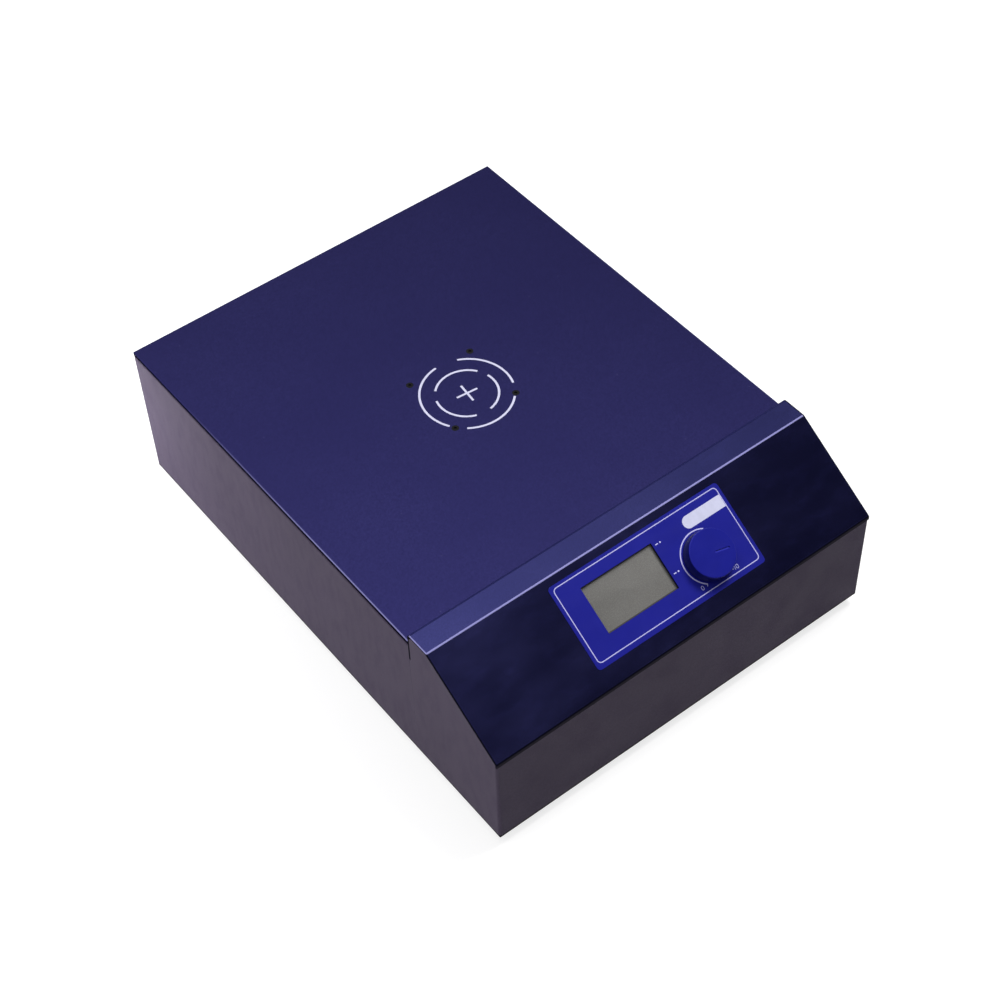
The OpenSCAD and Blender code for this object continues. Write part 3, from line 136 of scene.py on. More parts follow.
# The studio's brightness, from its dark front and floor (0) to the ceiling at the back (1).
ceiling = tree.nodes.new("ShaderNodeValToRGB")
steps = ceiling.color_ramp.elements
steps[0].position, steps[0].color = 0.0, (0.05, 0.05, 0.055, 1)
steps[1].position, steps[1].color = 1.0, (1.45, 1.44, 1.46, 1)
for place, level in ((0.52, 0.02), (0.58, 0.04), (0.64, 0.17), (0.70, 0.25), (0.74, 0.28),
                     (0.80, 0.66), (0.865, 1.26), (0.92, 1.42)):
    step = steps.new(place)
    step.color = (level, level, level * 1.02, 1)
toward_back = dot(tree, here(tree, "Generated"), Vector((-0.06, 0.20, 0.98)).normalized())
tree.links.new(toward_back, ceiling.inputs["Fac"])
sky = tree.nodes.new("ShaderNodeBackground")
tree.links.new(ceiling.outputs["Color"], sky.inputs["Color"])
white = tree.nodes.new("ShaderNodeBackground")
white.inputs["Color"].default_value = (1, 1, 1, 1)
low_band = ramp(tree, coordinate(tree, "Z", "Generated"), 0.36, 0.26)
backdrop = tree.nodes.new("ShaderNodeMixShader")
world_out = tree.nodes.new("ShaderNodeOutputWorld")
tree.links.new(product(tree, seen(tree), low_band), backdrop.inputs["Fac"])
tree.links.new(sky.outputs[0], backdrop.inputs[1])
tree.links.new(white.outputs[0], backdrop.inputs[2])
tree.links.new(backdrop.outputs[0], world_out.inputs["Surface"])


def soft_box(name, place, target, size, power, mirrored=False):
    lamp = bpy.data.lights.new(name, "AREA")
    lamp.shape = "SQUARE"
    lamp.size = size
    lamp.energy = power
    holder = bpy.data.objects.new(name, lamp)
    bpy.context.scene.collection.objects.link(holder)
    holder.location = place
    holder.visible_camera = False
    holder.visible_glossy = mirrored
    holder.rotation_euler = (Vector(target) - Vector(place)).to_track_quat("-Z", "Y").to_euler()


soft_box("box_left", (-0.28, 0.36, 0.07), target=(-0.15, 0.17, 0.06), size=0.14, power=1.12)
soft_box("box_fill", (-1.50, -0.32, 0.45), target=(-0.15, -0.12, 0.06), size=0.8, power=5.5)
soft_box("box_overhead", (0.72, -0.10, 1.90), target=(0.0, -0.10, 0.1), size=0.7, power=25,
         mirrored=True)

# The paper lies a fifth of a millimetre under the feet, so that no faces coincide. It glows
# a little to the lens, which keeps it white up to the object.
paper_drop, paper_grey, paper_glow = 0.0002, 0.42, 0.75
floor_mesh = bpy.data.meshes.new("floor")
bm = bmesh.new()
bmesh.ops.create_circle(bm, cap_ends=True, segments=96, radius=9.0)
bm.to_mesh(floor_mesh)
bm.free()
floor = bpy.data.objects.new("floor", floor_mesh)
bpy.context.scene.collection.objects.link(floor)
floor.location.z = -paper_drop
paper = bpy.data.materials.new("paper_sweep")
paper.use_nodes = True
tree = paper.node_tree
tree.nodes.clear()
sheet = tree.nodes.new("ShaderNodeBsdfDiffuse")
sheet.inputs["Color"].default_value = (paper_grey, paper_grey, paper_grey, 1)
lift = tree.nodes.new("ShaderNodeEmission")
lift.inputs["Color"].default_value = (1, 1, 1, 1)
tree.links.new(product(tree, seen(tree), paper_glow), lift.inputs["Strength"])
both = tree.nodes.new("ShaderNodeAddShader")
floor_out = tree.nodes.new("ShaderNodeOutputMaterial")
tree.links.new(sheet.outputs[0], both.inputs[0])
tree.links.new(lift.outputs[0], both.inputs[1])
tree.links.new(both.outputs[0], floor_out.inputs["Surface"])
floor.data.materials.append(paper)


# ---------------------------------------------------------------- rear shell and front housing
# Two folded shells of 1.2 mm steel in a grey-violet powder coat, screwed to the base plate.
# The coat is finely pebbled, a little lighter on the folds from wear and a painted highlight,
# and slightly uneven where hands have rubbed it.
mm = 0.001


def mask_group(name, control, usual, *masks):
    """A shader node group with one number that goes in and the named masks that come out."""
    group = bpy.data.node_groups.new(name, "ShaderNodeTree")
    socket = group.interface.new_socket(control, in_out="INPUT", socket_type="NodeSocketFloat")
    socket.default_value = usual
    for label in masks:
        group.interface.new_socket(label, in_out="OUTPUT", socket_type="NodeSocketFloat")
    given = group.nodes.new("NodeGroupInput").outputs[control]
    return group, given, group.nodes.new("NodeGroupOutput").inputs


def noise(tree, cells, detail, rough=0.5, stretch=(1.0, 1.0, 1.0)):
    """A noise texture in the object's own space, with its size in cells to the metre."""
    mapping = tree.nodes.new("ShaderNodeMapping")
    mapping.inputs["Scale"].default_value = stretch
    texture = tree.nodes.new("ShaderNodeTexNoise")
    feed(tree, texture.inputs["Scale"], cells)
    texture.inputs["Detail"].default_value = detail
    texture.inputs["Roughness"].default_value = rough
    tree.links.new(here(tree), mapping.inputs["Vector"])
    tree.links.new(mapping.outputs["Vector"], texture.inputs["Vector"])
    return texture.outputs["Fac"]


pebble, cells, out = mask_group("pebble", "Cells", 1600.0, "Height", "Speck")
grain = noise(pebble, cells, 2.0, 0.6)
pebble.links.new(grain, out["Height"])
pebble.links.new(ramp(pebble, grain, 0.30, 0.72), out["Speck"])

handling, cells, out = mask_group("handling", "Cells", 14.0, "Cloud", "Rub")
cloud = noise(handling, cells, 3.0, 0.55)
rub = noise(handling, 55, 4.0, 0.65, (1.0, 2.6, 1.0))
handling.links.new(ramp(handling, cloud, 0.32, 0.70), out["Cloud"])
handling.links.new(ramp(handling, rub, 0.45, 0.75), out["Rub"])

# Folds and edges, found by a bevel, for edge wear and a painted highlight.
fold_wear_and_highlight, radius, out = mask_group("fold_wear_and_highlight", "Radius", 0.0012, "Fold")
bevel = fold_wear_and_highlight.nodes.new("ShaderNodeBevel")
bevel.samples = 4
fold_wear_and_highlight.links.new(radius, bevel.inputs["Radius"])
flat = fold_wear_and_highlight.nodes.new("ShaderNodeNewGeometry").outputs["Normal"]
agree = dot(fold_wear_and_highlight, bevel.outputs["Normal"], flat)
fold_wear_and_highlight.links.new(ramp(fold_wear_and_highlight, agree, 0.999, 0.80), out["Fold"])


def place_group(tree, group, **values):
    node = tree.nodes.new("ShaderNodeGroup")
    node.node_tree = group
    for label, value in values.items():
        node.inputs[label].default_value = value
    return node.outputs


def blend_colour(tree, fac, low, high):
    """Mixes between two colours (given as RGB or as a socket) by fac."""
    node = tree.nodes.new("ShaderNodeMix")
    node.data_type = "RGBA"
    for k, value in ((0, fac), (6, low), (7, high)):
        feed(tree, node.inputs[k], value)
    return node.outputs[2]


def blend_value(tree, fac, low, high):
    return ramp(tree, fac, 0.0, 1.0, low, high)


def shade(colour, by):
    """The same colour, darker or lighter."""
    return tuple(min(1, by * c) for c in colour)


def new_finish(name):
    finish = bpy.data.materials.new(name)
    finish.use_nodes = True
    return finish, finish.node_tree, finish.node_tree.nodes["Principled BSDF"]


def resume(finish):
    """The node tree of a finish, its shader, and the colour that it has so far."""
    tree = finish.node_tree
    shader = tree.nodes["Principled BSDF"]
    return tree, shader, shader.inputs["Base Color"].links[0].from_socket


def surface(tree, shader, colour, rub, rough, relief=None, depth=0.0):
    """Gives a shader its colour, a roughness that changes with a mask, and a fine relief."""
    tree.links.new(colour, shader.inputs["Base Color"])
    tree.links.new(blend_value(tree, rub, *rough), shader.inputs["Roughness"])
    if relief is not None:
        bump = tree.nodes.new("ShaderNodeBump")
        bump.inputs["Distance"].default_value = depth
        bump.inputs["Strength"].default_value = 1.0
        tree.links.new(relief, bump.inputs["Height"])
        tree.links.new(bump.outputs["Normal"], shader.inputs["Normal"])


def paint(name, dark, light, edge, cells, depth, rough, metallic=0.0, coat=0.0, coat_rough=0.1,
          specular=0.5, cloud_cells=14.0):
    """Stoved paint on sheet steel: pebbled, clouded by handling, lighter on its folds from wear
    and a painted highlight.
    """
    finish, tree, shader = new_finish(name)
    grain = place_group(tree, pebble, Cells=cells)
    marks = place_group(tree, handling, Cells=cloud_cells)
    folds = place_group(tree, fold_wear_and_highlight)
    body = blend_colour(tree, marks["Cloud"], dark, light)
    speckled = blend_colour(tree, grain["Speck"], shade(dark, 0.82), body)
    worn_and_highlit = blend_colour(tree, folds["Fold"], speckled, edge)
    surface(tree, shader, worn_and_highlit, marks["Rub"], rough, grain["Height"], depth)
    shader.inputs["Metallic"].default_value = metallic
    shader.inputs["Specular IOR Level"].default_value = specular
    shader.inputs["Coat Weight"].default_value = coat
    shader.inputs["Coat Roughness"].default_value = coat_rough
    return finish


def facing(tree, normal, low, high):
    """1 where the surface faces along normal, 0 where it has turned away from it."""
    agree = dot(tree, here(tree, "Normal"), Vector(normal).normalized())
    return ramp(tree, agree, low, high)


def dress(finish, *names):
    """Gives a finish to CAD nodes, in place of the plain one that they came with."""
    for name in names:
        nodes[name].data.materials.clear()
        nodes[name].data.materials.append(finish)


shell_paint = paint("shell_paint", (0.076, 0.059, 0.097), (0.095, 0.075, 0.121),
                    (0.103, 0.083, 0.130), 1500, 0.00006, (0.55, 0.66), specular=0.06)
# A band along the lower edge is painted near black, as painted shade of the gap under the body.
tree, shader, coated = resume(shell_paint)
low_edge = ramp(tree, coordinate(tree, "Z"), body_low + 3.4 * mm, body_low + 2.6 * mm)
shadow_hem = product(tree, low_edge, facing(tree, (0, 0, -1), 0.9, 0.6))
tree.links.new(blend_colour(tree, shadow_hem, coated, (0.008, 0.007, 0.010)),
               shader.inputs["Base Color"])
dress(shell_paint, "rear_shell", "front_housing")


# ---------------------------------------------------------------- base plate and cross rail
# Galvanised sheet, left bare because neither shows from above: a soft spangle of zinc
# crystals with slightly different tones, and a fine rolling grain.
def crystals(tree, cells, spread="3D"):
    """Cells to the metre: the distance from each cell's middle, and its own random tones."""
    texture = tree.nodes.new("ShaderNodeTexVoronoi")
    texture.voronoi_dimensions = spread
    texture.inputs["Scale"].default_value = cells
    tone = tree.nodes.new("ShaderNodeSeparateColor")
    tree.links.new(here(tree), texture.inputs["Vector"])
    tree.links.new(texture.outputs["Color"], tone.inputs["Color"])
    return texture.outputs["Distance"], tone.outputs


galvanised, tree, shader = new_finish("galvanised")
_, tones = crystals(tree, 160)
spangle = blend_colour(tree, tones["Red"], (0.40, 0.41, 0.42), (0.58, 0.59, 0.60))
rolled = noise(tree, 700, 2.0, 0.5, (0.15, 1.0, 1.0))
surface(tree, shader, spangle, tones["Green"], (0.34, 0.52), rolled, 0.00003)
shader.inputs["Metallic"].default_value = 0.9
dress(galvanised, "base_plate", "cross_rail")


# ---------------------------------------------------------------- top plate and gasket
# A 2 mm steel plate in satin navy paint, with rolled upper edges and four countersinks. Its
# studs are nutted from below, on a black rubber gasket that shows as a thin dark joint.
plate_metal = 0.75
plate_paint = paint("plate_paint", (0.032, 0.030, 0.129), (0.038, 0.036, 0.146),
                    (0.045, 0.043, 0.170), 900, 0.000010, (0.243, 0.265),
                    metallic=plate_metal, specular=0.0, cloud_cells=9)
tree, shader, top_coat = resume(plate_paint)
# A few specks of dust lie on the paint.
distance, tones = crystals(tree, 34, "2D")
dust = product(tree, ramp(tree, distance, 0.017, 0.009), ramp(tree, tones["Red"], 0.55, 1.0))
dusted = blend_colour(tree, dust, top_coat, (0.085, 0.080, 0.210))
# A painted highlight lies on the rolled edge and on the plate's left edge, fading out toward
# the back. The side under it is painted near black and not metallic, as painted shade.
rolled = facing(tree, (0, 0, 1), 0.995, 0.93)
near_left = ramp(tree, coordinate(tree, "X"), body_left + 1.3 * mm, body_left + 0.8 * mm)
toward_front = ramp(tree, coordinate(tree, "Y"), 0.13, -0.02)
edge_highlight = product(tree, greatest(tree, rolled, near_left), toward_front)
painted_glint = blend_colour(tree, edge_highlight, dusted, (0.20, 0.195, 0.40))
shaded_side = facing(tree, (0, 0, 1), 0.80, 0.62)
tree.links.new(blend_colour(tree, shaded_side, painted_glint, (0.004, 0.004, 0.012)),
               shader.inputs["Base Color"])
tree.links.new(blend_value(tree, shaded_side, plate_metal, 0.0), shader.inputs["Metallic"])
dress(plate_paint, "top_plate")


def rubber(name, colour, rough=0.75):
    """Moulded black rubber: dull, faintly mottled, with a dusty bloom."""
    finish, tree, shader = new_finish(name)
    grain = place_group(tree, pebble, Cells=2600)
    bloom = place_group(tree, handling, Cells=60)
    mottled = blend_colour(tree, bloom["Cloud"], colour, shade(colour, 1.9))
    surface(tree, shader, mottled, grain["Speck"], (rough - 0.1, rough + 0.1), grain["Height"],
            0.00004)
    shader.inputs["Specular IOR Level"].default_value = 0.2
    return finish


dress(rubber("gasket_rubber", (0.010, 0.010, 0.011)), "plate_gasket")


# ---------------------------------------------------------------- stirring target
# White screen print on the plate: a small cross in two broken rings that shows where to stand
# the vessel. The ink is a few hundredths of a millimetre thick and stands on the paint.
drive_centre = (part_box("motor_case")[0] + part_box("motor_case")[1]) / 2
plate_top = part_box("top_plate")[1].z
ink_t = 0.03 * mm


def skin(bm, rings, looped=False):
    """Faces from ring to ring, closed at both ends. A ring of one point makes a tip."""
    count = max(len(ring) for ring in rings)
    for a, b in zip(rings, rings[1:] + rings[:1] if looped else rings[1:]):
        for k in range(count):
            n = (k + 1) % count
            corners = (a[k % len(a)], a[n % len(a)], b[n % len(b)], b[k % len(b)])
            bm.faces.new(list(dict.fromkeys(corners)))
    if not looped and len(rings[0]) > 1:
        bm.faces.new(rings[0][::-1])
        bm.faces.new(rings[-1])


def stripe(bm, place, path, width, low, high, closed=False):
    """A flat ribbon of ink along a path of 2D points, as a thin closed solid."""
    count = len(path)
    rings = []
    for i, point in enumerate(path):
        before = path[i - 1] if closed or i else path[0]
        after = path[(i + 1) % count] if closed or i < count - 1 else path[-1]
        a = (Vector(point) - Vector(before)) if i or closed else (Vector(after) - Vector(point))
        b = (Vector(after) - Vector(point)) if i < count - 1 or closed else a
        a, b = a.normalized(), b.normalized()
        along = (a + b).normalized()
        side = Vector((-along.y, along.x)) * (width / 2) / max(0.35, along.dot(b))
        left, right = Vector(point) + side, Vector(point) - side
        rings.append([bm.verts.new(place @ Vector((*p, z)))
                      for p, z in ((left, low), (right, low), (right, high), (left, high))])
    skin(bm, rings, closed)


def patch(bm, place, outline, low, high):
    """A flat patch of ink or film with the given outline, as a thin closed solid."""
    skin(bm, [[bm.verts.new(place @ Vector((*p, z))) for p in outline] for z in (low, high)])


def arc_points(centre, radius, start, end, steps):
    return [(centre[0] + radius * math.cos(math.radians(start + (end - start) * i / steps)),
             centre[1] + radius * math.sin(math.radians(start + (end - start) * i / steps)))
            for i in range(steps + 1)]


def pointing(angle):
    """The direction at an angle in degrees, as one unit of length."""
    return Vector((math.cos(math.radians(angle)), math.sin(math.radians(angle))))


def finish_piece(name, bm, body, finish, smooth=0):
    """Makes a drawn mesh a piece of a body, with edges sharper than smooth degrees kept."""
    bmesh.ops.recalc_face_normals(bm, faces=bm.faces)
    mesh = bpy.data.meshes.new(name)
    bm.to_mesh(mesh)
    bm.free()
    mesh.materials.append(finish)
    if smooth:
        mesh.shade_smooth()
        mesh.set_sharp_from_angle(angle=math.radians(smooth))
    piece = bpy.data.objects.new(name, mesh)
    bpy.context.scene.collection.objects.link(piece)
    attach(piece, body)
    return piece


def ink(name, colour, rough=0.45):
    """Screen ink: nearly even, with pinholes and a slight drag where the squeegee passed."""
    finish, tree, shader = new_finish(name)
    grain = place_group(tree, pebble, Cells=3200)
    drag = ramp(tree, noise(tree, 300, 3.0, 0.6, (1.0, 0.2, 1.0)), 0.30, 0.60)
    thin = blend_colour(tree, drag, shade(colour, 0.93), colour)
    surface(tree, shader, thin, grain["Speck"], (rough - 0.08, rough + 0.08), grain["Height"],
            0.00001)
    return finish


line_w, cross_reach, forward = 1.5 * mm, 7.8 * mm, 4.8 * mm
on_plate = Matrix.Translation((drive_centre.x, drive_centre.y - forward, plate_top))
bm = bmesh.new()
for radius, start, end in ((31.3, -21.7, 64.8), (31.3, -127.2, -44.4), (31.2, 94.2, 211.6),
                           (20.9, 33.7, 136.1), (20.9, -80.5, 12.2), (20.9, 161.0, 249.9)):
    stripe(bm, on_plate, arc_points((0, 0), radius * mm, start, end, 40), line_w, 0, ink_t)
for angle, low in ((-6.0, 0), (84.0, ink_t * 0.2)):
    tip = pointing(angle) * cross_reach
    stripe(bm, on_plate, [-tip, tip], line_w, low, ink_t + low)
finish_piece("stirring_target", bm, "chassis",
             ink("target_ink", (0.62, 0.62, 0.80)))


# ---------------------------------------------------------------- control panel
# One sheet of steel folded four times: back lip, ridge, slope and front lip. It has a glossy
# navy stoved paint with a clear coat, in which soft painted reflections swim a little.
slope_run, slope_drop = 65.0, 40.5
slope = math.atan2(slope_drop, slope_run)
slope_normal = Vector((0, -math.sin(slope), math.cos(slope)))
near_black = (0.004, 0.004, 0.010)
panel_metal, panel_coat = 0.95, 0.30
panel_paint = paint("panel_paint", (0.026, 0.028, 0.150), (0.045, 0.047, 0.200),
                    (0.026, 0.028, 0.150), 1400, 0.000006, (0.20, 0.26),
                    metallic=panel_metal, coat=panel_coat, coat_rough=0.16, specular=0.0,
                    cloud_cells=11)
tree, shader, gloss = resume(panel_paint)
panel_left, panel_right = (end.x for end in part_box("control_panel"))
across = coordinate(tree, "X")

# A painted reflection of the studio lies on the slope in soft light clouds, stronger toward the
# left.
more_at_left = ramp(tree, across, panel_left, panel_right, 1.0, 0.42)
reflection_clouds = ramp(tree, noise(tree, 20, 2.0, 0.5, (1.0, 1.8, 1.8)), 0.36, 0.70)
painted_reflection = blend_colour(tree, product(tree, reflection_clouds, more_at_left), (0.022, 0.023, 0.112),
                     (0.048, 0.049, 0.198))
on_the_slope = facing(tree, slope_normal, 0.97, 0.995)
under = blend_colour(tree, on_the_slope, gloss, painted_reflection)

# A pale painted highlight lies on the ridge's front bend and on its left end. Painted shade,
# near black, lies on the ridge's back bend, the front lip and the sheared ends. Where either is
# painted, the paint is also made dull, with no metal and no clear coat.
section = operate(tree, "ShaderNodeVectorMath", "MULTIPLY", here(tree), Vector((0, 1, 1)))
bend_middle = Vector((0, body_front + 65 * mm, body_low + 120 * mm))
from_bend = operate(tree, "ShaderNodeVectorMath", "DISTANCE", section["Vector"], bend_middle)
bend = ramp(tree, from_bend["Value"], 0.75 * mm, 0.4 * mm)
left_end = ramp(tree, across, panel_left + 1.0 * mm, panel_left + 0.6 * mm)
right_end = ramp(tree, across, panel_right - 1.0 * mm, panel_right - 0.6 * mm)
ridge_end = product(tree, left_end, facing(tree, (0, 0, 1), 0.90, 0.97))
slope_end = product(tree, left_end, facing(tree, (0, 0, 1), 0.97, 0.90))
painted_highlight = greatest(tree, bend, ridge_end)
painted_shade = greatest(tree, facing(tree, (0, -1, 0), 0.58, 0.68), facing(tree, (1, 0, 0), 0.5, 0.8),
                  facing(tree, (-1, 0, 0), 0.5, 0.8), right_end, slope_end)
highlit_and_shaded = blend_colour(tree, painted_highlight, under, (0.235, 0.230, 0.46))
highlit_and_shaded = blend_colour(tree, facing(tree, (0, 1, 1), 0.80, 1.10), highlit_and_shaded, near_black)
shade_colour = blend_colour(tree, facing(tree, (0, -1, 0), 0.93, 0.995), near_black,
                      (0.026, 0.023, 0.034))
tree.links.new(blend_colour(tree, painted_shade, highlit_and_shaded, shade_colour), shader.inputs["Base Color"])
painted_light_zones = greatest(tree, painted_highlight, painted_shade, facing(tree, (0, 1, 1), 0.80, 0.90))
satin = shader.inputs["Roughness"].links[0].from_socket
for label, coated, bare in (("Roughness", satin, 0.45), ("Metallic", panel_metal, 0.10),
                            ("Coat Weight", panel_coat, 0.0)):
    tree.links.new(blend_value(tree, painted_light_zones, coated, bare), shader.inputs[label])
dress(panel_paint, "control_panel")


# ---------------------------------------------------------------- panel label
# A printed polyester film stuck to the slope: deep blue, with a white border line, a bare
# white tab at the top right, an arc round the knob, and small plain marks at its ends.
slope_foot, film_top = 79.5 * mm, 0.4 * mm
panel_foot = Vector((0, body_front, body_low + slope_foot))
on_slope = Matrix.Translation(panel_foot) @ Matrix.Rotation(slope, 4, "X")
label_film, tree, shader = new_finish("label_film")
adhesive = place_group(tree, handling, Cells=45)
grain = place_group(tree, pebble, Cells=2200)
film_blue = (0.012, 0.014, 0.243)
mottled = blend_colour(tree, adhesive["Cloud"], film_blue, shade(film_blue, 1.14))
surface(tree, shader, mottled, adhesive["Rub"], (0.34, 0.46), grain["Height"], 0.000008)
shader.inputs["Specular IOR Level"].default_value = 0.12
dress(label_film, "panel_label")
label_ink = ink("label_ink", (0.54, 0.53, 0.87), 0.4)


def rounded_outline(x0, y0, x1, y1, radius, steps=8):
    points = []
    for cx, cy, start in ((x1 - radius, y0 + radius, -90), (x1 - radius, y1 - radius, 0),
                          (x0 + radius, y1 - radius, 90), (x0 + radius, y0 + radius, 180)):
        points += arc_points((cx, cy), radius, start, start + 90, steps)
    return points


def printed_line(bm, path, width, closed=False):
    stripe(bm, on_slope, path, width, film_top, film_top + ink_t, closed)


bm = bmesh.new()
border_w, border_r = 0.60 * mm, 2.6 * mm
border = rounded_outline(-61.3 * mm, 16.4 * mm, 67.8 * mm, 68.5 * mm, border_r)
printed_line(bm, border, border_w, closed=True)
finish_piece("label_border", bm, "chassis", label_ink)

bm = bmesh.new()
knob_at = Vector((37.4 * mm, 35.2 * mm))
dial_w, dial_r = 0.80 * mm, 17.5 * mm
printed_line(bm, arc_points(knob_at, dial_r, 62, 236, 56), dial_w)
finish_piece("label_dial_arc", bm, "chassis", label_ink)

# The digit 0 and the digits 10 in plain strokes at the two ends of the dial.
bm = bmesh.new()
digit_w, digit_h, digit_stroke = 1.5 * mm, 2.5 * mm, 0.34 * mm
for x, y in ((22.6 * mm, 19.0 * mm), (50.6 * mm, 18.6 * mm)):
    printed_line(bm, rounded_outline(x, y, x + digit_w, y + digit_h, digit_w * 0.48, 5),
                 digit_stroke, closed=True)
x, y = 49.4 * mm, 18.6 * mm
printed_line(bm, [(x - 0.55 * mm, y + digit_h * 0.75), (x, y + digit_h), (x, y)], digit_stroke)
# Short ticks between the digits and the arc, and plain dots with a bar beside the display.
tick_w, tick_start, tick_end = 0.4 * mm, 17.2 * mm, 19.0 * mm
for angle in (236, 304):
    ray = pointing(angle)
    printed_line(bm, [knob_at + ray * tick_start, knob_at + ray * tick_end], tick_w)
bar_left, bar_right, bar_half = 12.0 * mm, 14.0 * mm, 0.35 * mm
dot_x, dot_r = 15.7 * mm, 0.60 * mm
for y in (58.0 * mm, 37.0 * mm):
    low, high = y - bar_half, y + bar_half
    bar = [(bar_left, low), (bar_right, low), (bar_right, high), (bar_left, high)]
    for outline in (bar, arc_points((dot_x, y), dot_r, 0, 345, 23)):
        patch(bm, on_slope, outline, film_top, film_top + ink_t)
finish_piece("label_marks", bm, "chassis", label_ink)

# The bare white tab: round at its left end and cut by the border at its right.
bm = bmesh.new()
tab_left, tab_right, tab_low, tab_high = 35.3 * mm, 67.4 * mm, 54.8 * mm, 63.2 * mm
tab_r = (tab_high - tab_low) / 2
tab_outline = [(tab_right, tab_low), (tab_right, tab_high)]
tab_outline += arc_points((tab_left + tab_r, tab_low + tab_r), tab_r, 90, 270, 24)
patch(bm, on_slope, tab_outline, film_top, film_top + ink_t * 0.7)
finish_piece("label_tab", bm, "chassis", ink("tab_ink", (0.66, 0.67, 0.87), 0.38))


# ---------------------------------------------------------------- display
# A monochrome LCD behind a window of hard-coated clear acrylic, on which fine dust shows. The
# glass is a greenish grey with a faint haze, and the window's rim is masked in black where it
# meets the sheet.
display_glass, tree, shader = new_finish("display_glass")
tone = blend_colour(tree, ramp(tree, noise(tree, 22, 2.0), 0.35, 0.65), (0.144, 0.138, 0.127),
                    (0.152, 0.145, 0.134))
surface(tree, shader, tone, noise(tree, 1500, 1.0, 0.4), (0.20, 0.34))
shader.inputs["Specular IOR Level"].default_value = 0.4
dress(display_glass, "lcd_glass")

window_clear, tree, shader = new_finish("window_clear")
dust = place_group(tree, handling, Cells=120)
shader.inputs["Base Color"].default_value = (0.8, 0.82, 0.81, 1)
tree.links.new(blend_value(tree, dust["Cloud"], 0.06, 0.08), shader.inputs["Alpha"])
tree.links.new(blend_value(tree, dust["Rub"], 0.04, 0.16), shader.inputs["Roughness"])
dress(window_clear, "lcd_window")

bm = bmesh.new()
window_x, window_y, window_w, window_h = -17.7 * mm, 44.4 * mm, 55.6 * mm, 32.2 * mm
mask_w, mask_r, mask_low, mask_high = 0.7 * mm, 0.4 * mm, -1.19 * mm, -1.15 * mm
half_x, half_y = (window_w - mask_w) / 2, (window_h - mask_w) / 2
rim = rounded_outline(window_x - half_x, window_y - half_y, window_x + half_x,
                      window_y + half_y, mask_r, 4)
stripe(bm, on_slope, rim, mask_w, mask_low, mask_high, closed=True)
finish_piece("window_mask", bm, "chassis",
             ink("mask_ink", (0.040, 0.036, 0.034), 0.5))


# ---------------------------------------------------------------- speed knob
# A hollow moulded cap in satin blue plastic with a draft on its side, a rolled top edge, and
# a pointer groove cut into the top. Its boss slides over the D of the potentiometer's shaft.
def moulded(name, colour, rough, cells=2400, depth=0.00001, specular=0.5):
    finish, tree, shader = new_finish(name)
    grain = place_group(tree, pebble, Cells=cells)
    marks = place_group(tree, handling, Cells=70)
    folds = place_group(tree, fold_wear_and_highlight, Radius=0.0004)
    body = blend_colour(tree, marks["Cloud"], colour, shade(colour, 1.12))
    # The folds and edges are lighter: edge wear and a painted highlight.
    worn_and_highlit = blend_colour(tree, folds["Fold"], body, shade(colour, 1.9))
    surface(tree, shader, worn_and_highlit, marks["Rub"], (rough, rough + 0.12), grain["Height"], depth)
    shader.inputs["Specular IOR Level"].default_value = specular
    return finish


knob_plastic = moulded("knob_plastic", (0.010, 0.0125, 0.232), 0.36, specular=0.10)
tree, shader, cap_blue = resume(knob_plastic)
# The knob's side is painted a darker blue, as painted shade.
knob_side_shade = facing(tree, slope_normal, 0.60, 0.25)
side_shaded = blend_colour(tree, knob_side_shade, cap_blue, (0.003, 0.004, 0.078))
# The floor of the pointer groove is painted a paler blue, as a painted highlight along the
# pointer.
cap_h = 9.6 * mm
cap_level = panel_foot.dot(slope_normal) + film_top + cap_h
sunk = ramp(tree, dot(tree, here(tree), slope_normal), cap_level - 0.2 * mm,
            cap_level - 0.4 * mm)
pointer_highlight = product(tree, facing(tree, slope_normal, 0.97, 0.995), sunk)
tree.links.new(blend_colour(tree, pointer_highlight, side_shaded, (0.034, 0.040, 0.43)),
               shader.inputs["Base Color"])
dress(knob_plastic, "speed_knob")


# ---------------------------------------------------------------- machined and plated metal
# Screws, nuts, studs and pillars in clear zinc; the bearings, the shaft and the magnets are
# bright; the motor's castings are dull aluminium. Turned parts show fine rings.
def metal(name, colour, rough, cells=900, stretch=(1.0, 1.0, 1.0), depth=0.000012,
          metallic=1.0):
    finish, tree, shader = new_finish(name)
    lines = noise(tree, cells, 3.0, 0.6, stretch)
    marks = place_group(tree, handling, Cells=90)
    tone = blend_colour(tree, marks["Cloud"], shade(colour, 0.86), colour)
    surface(tree, shader, tone, lines, (rough - 0.08, rough + 0.1), lines, depth)
    shader.inputs["Metallic"].default_value = metallic
    return finish


zinc = metal("zinc_plate", (0.62, 0.62, 0.60), 0.34)
dress(zinc, "plate_studs", "plate_nuts", "display_fixings", "pot_nut", "motor_pillars",
      "motor_screws", "inlet_screws", "foot_screws", "body_screws")
oxide = metal("black_oxide", (0.004, 0.004, 0.005), 0.62, metallic=0.0)
oxide.node_tree.nodes["Principled BSDF"].inputs["Specular IOR Level"].default_value = 0.15
dress(oxide, "plate_screws", "hub_screw")
dress(metal("die_cast", (0.52, 0.53, 0.55), 0.48, 1400, depth=0.00004), "motor_flange",
      "motor_end_cap", "pot_case")
dress(metal("bearing_steel", (0.70, 0.70, 0.69), 0.16, 2000, (1.0, 1.0, 0.05)), "outer_races",
      "inner_races", "bearing_balls", "drive_shaft")
dress(metal("magnet_nickel", (0.66, 0.63, 0.58), 0.22, 1600), "rotor_magnets", "drive_magnets")
dress(metal("turned_aluminium", (0.70, 0.71, 0.73), 0.30, 1800, (0.3, 0.3, 3.0)),
      "magnet_holder")
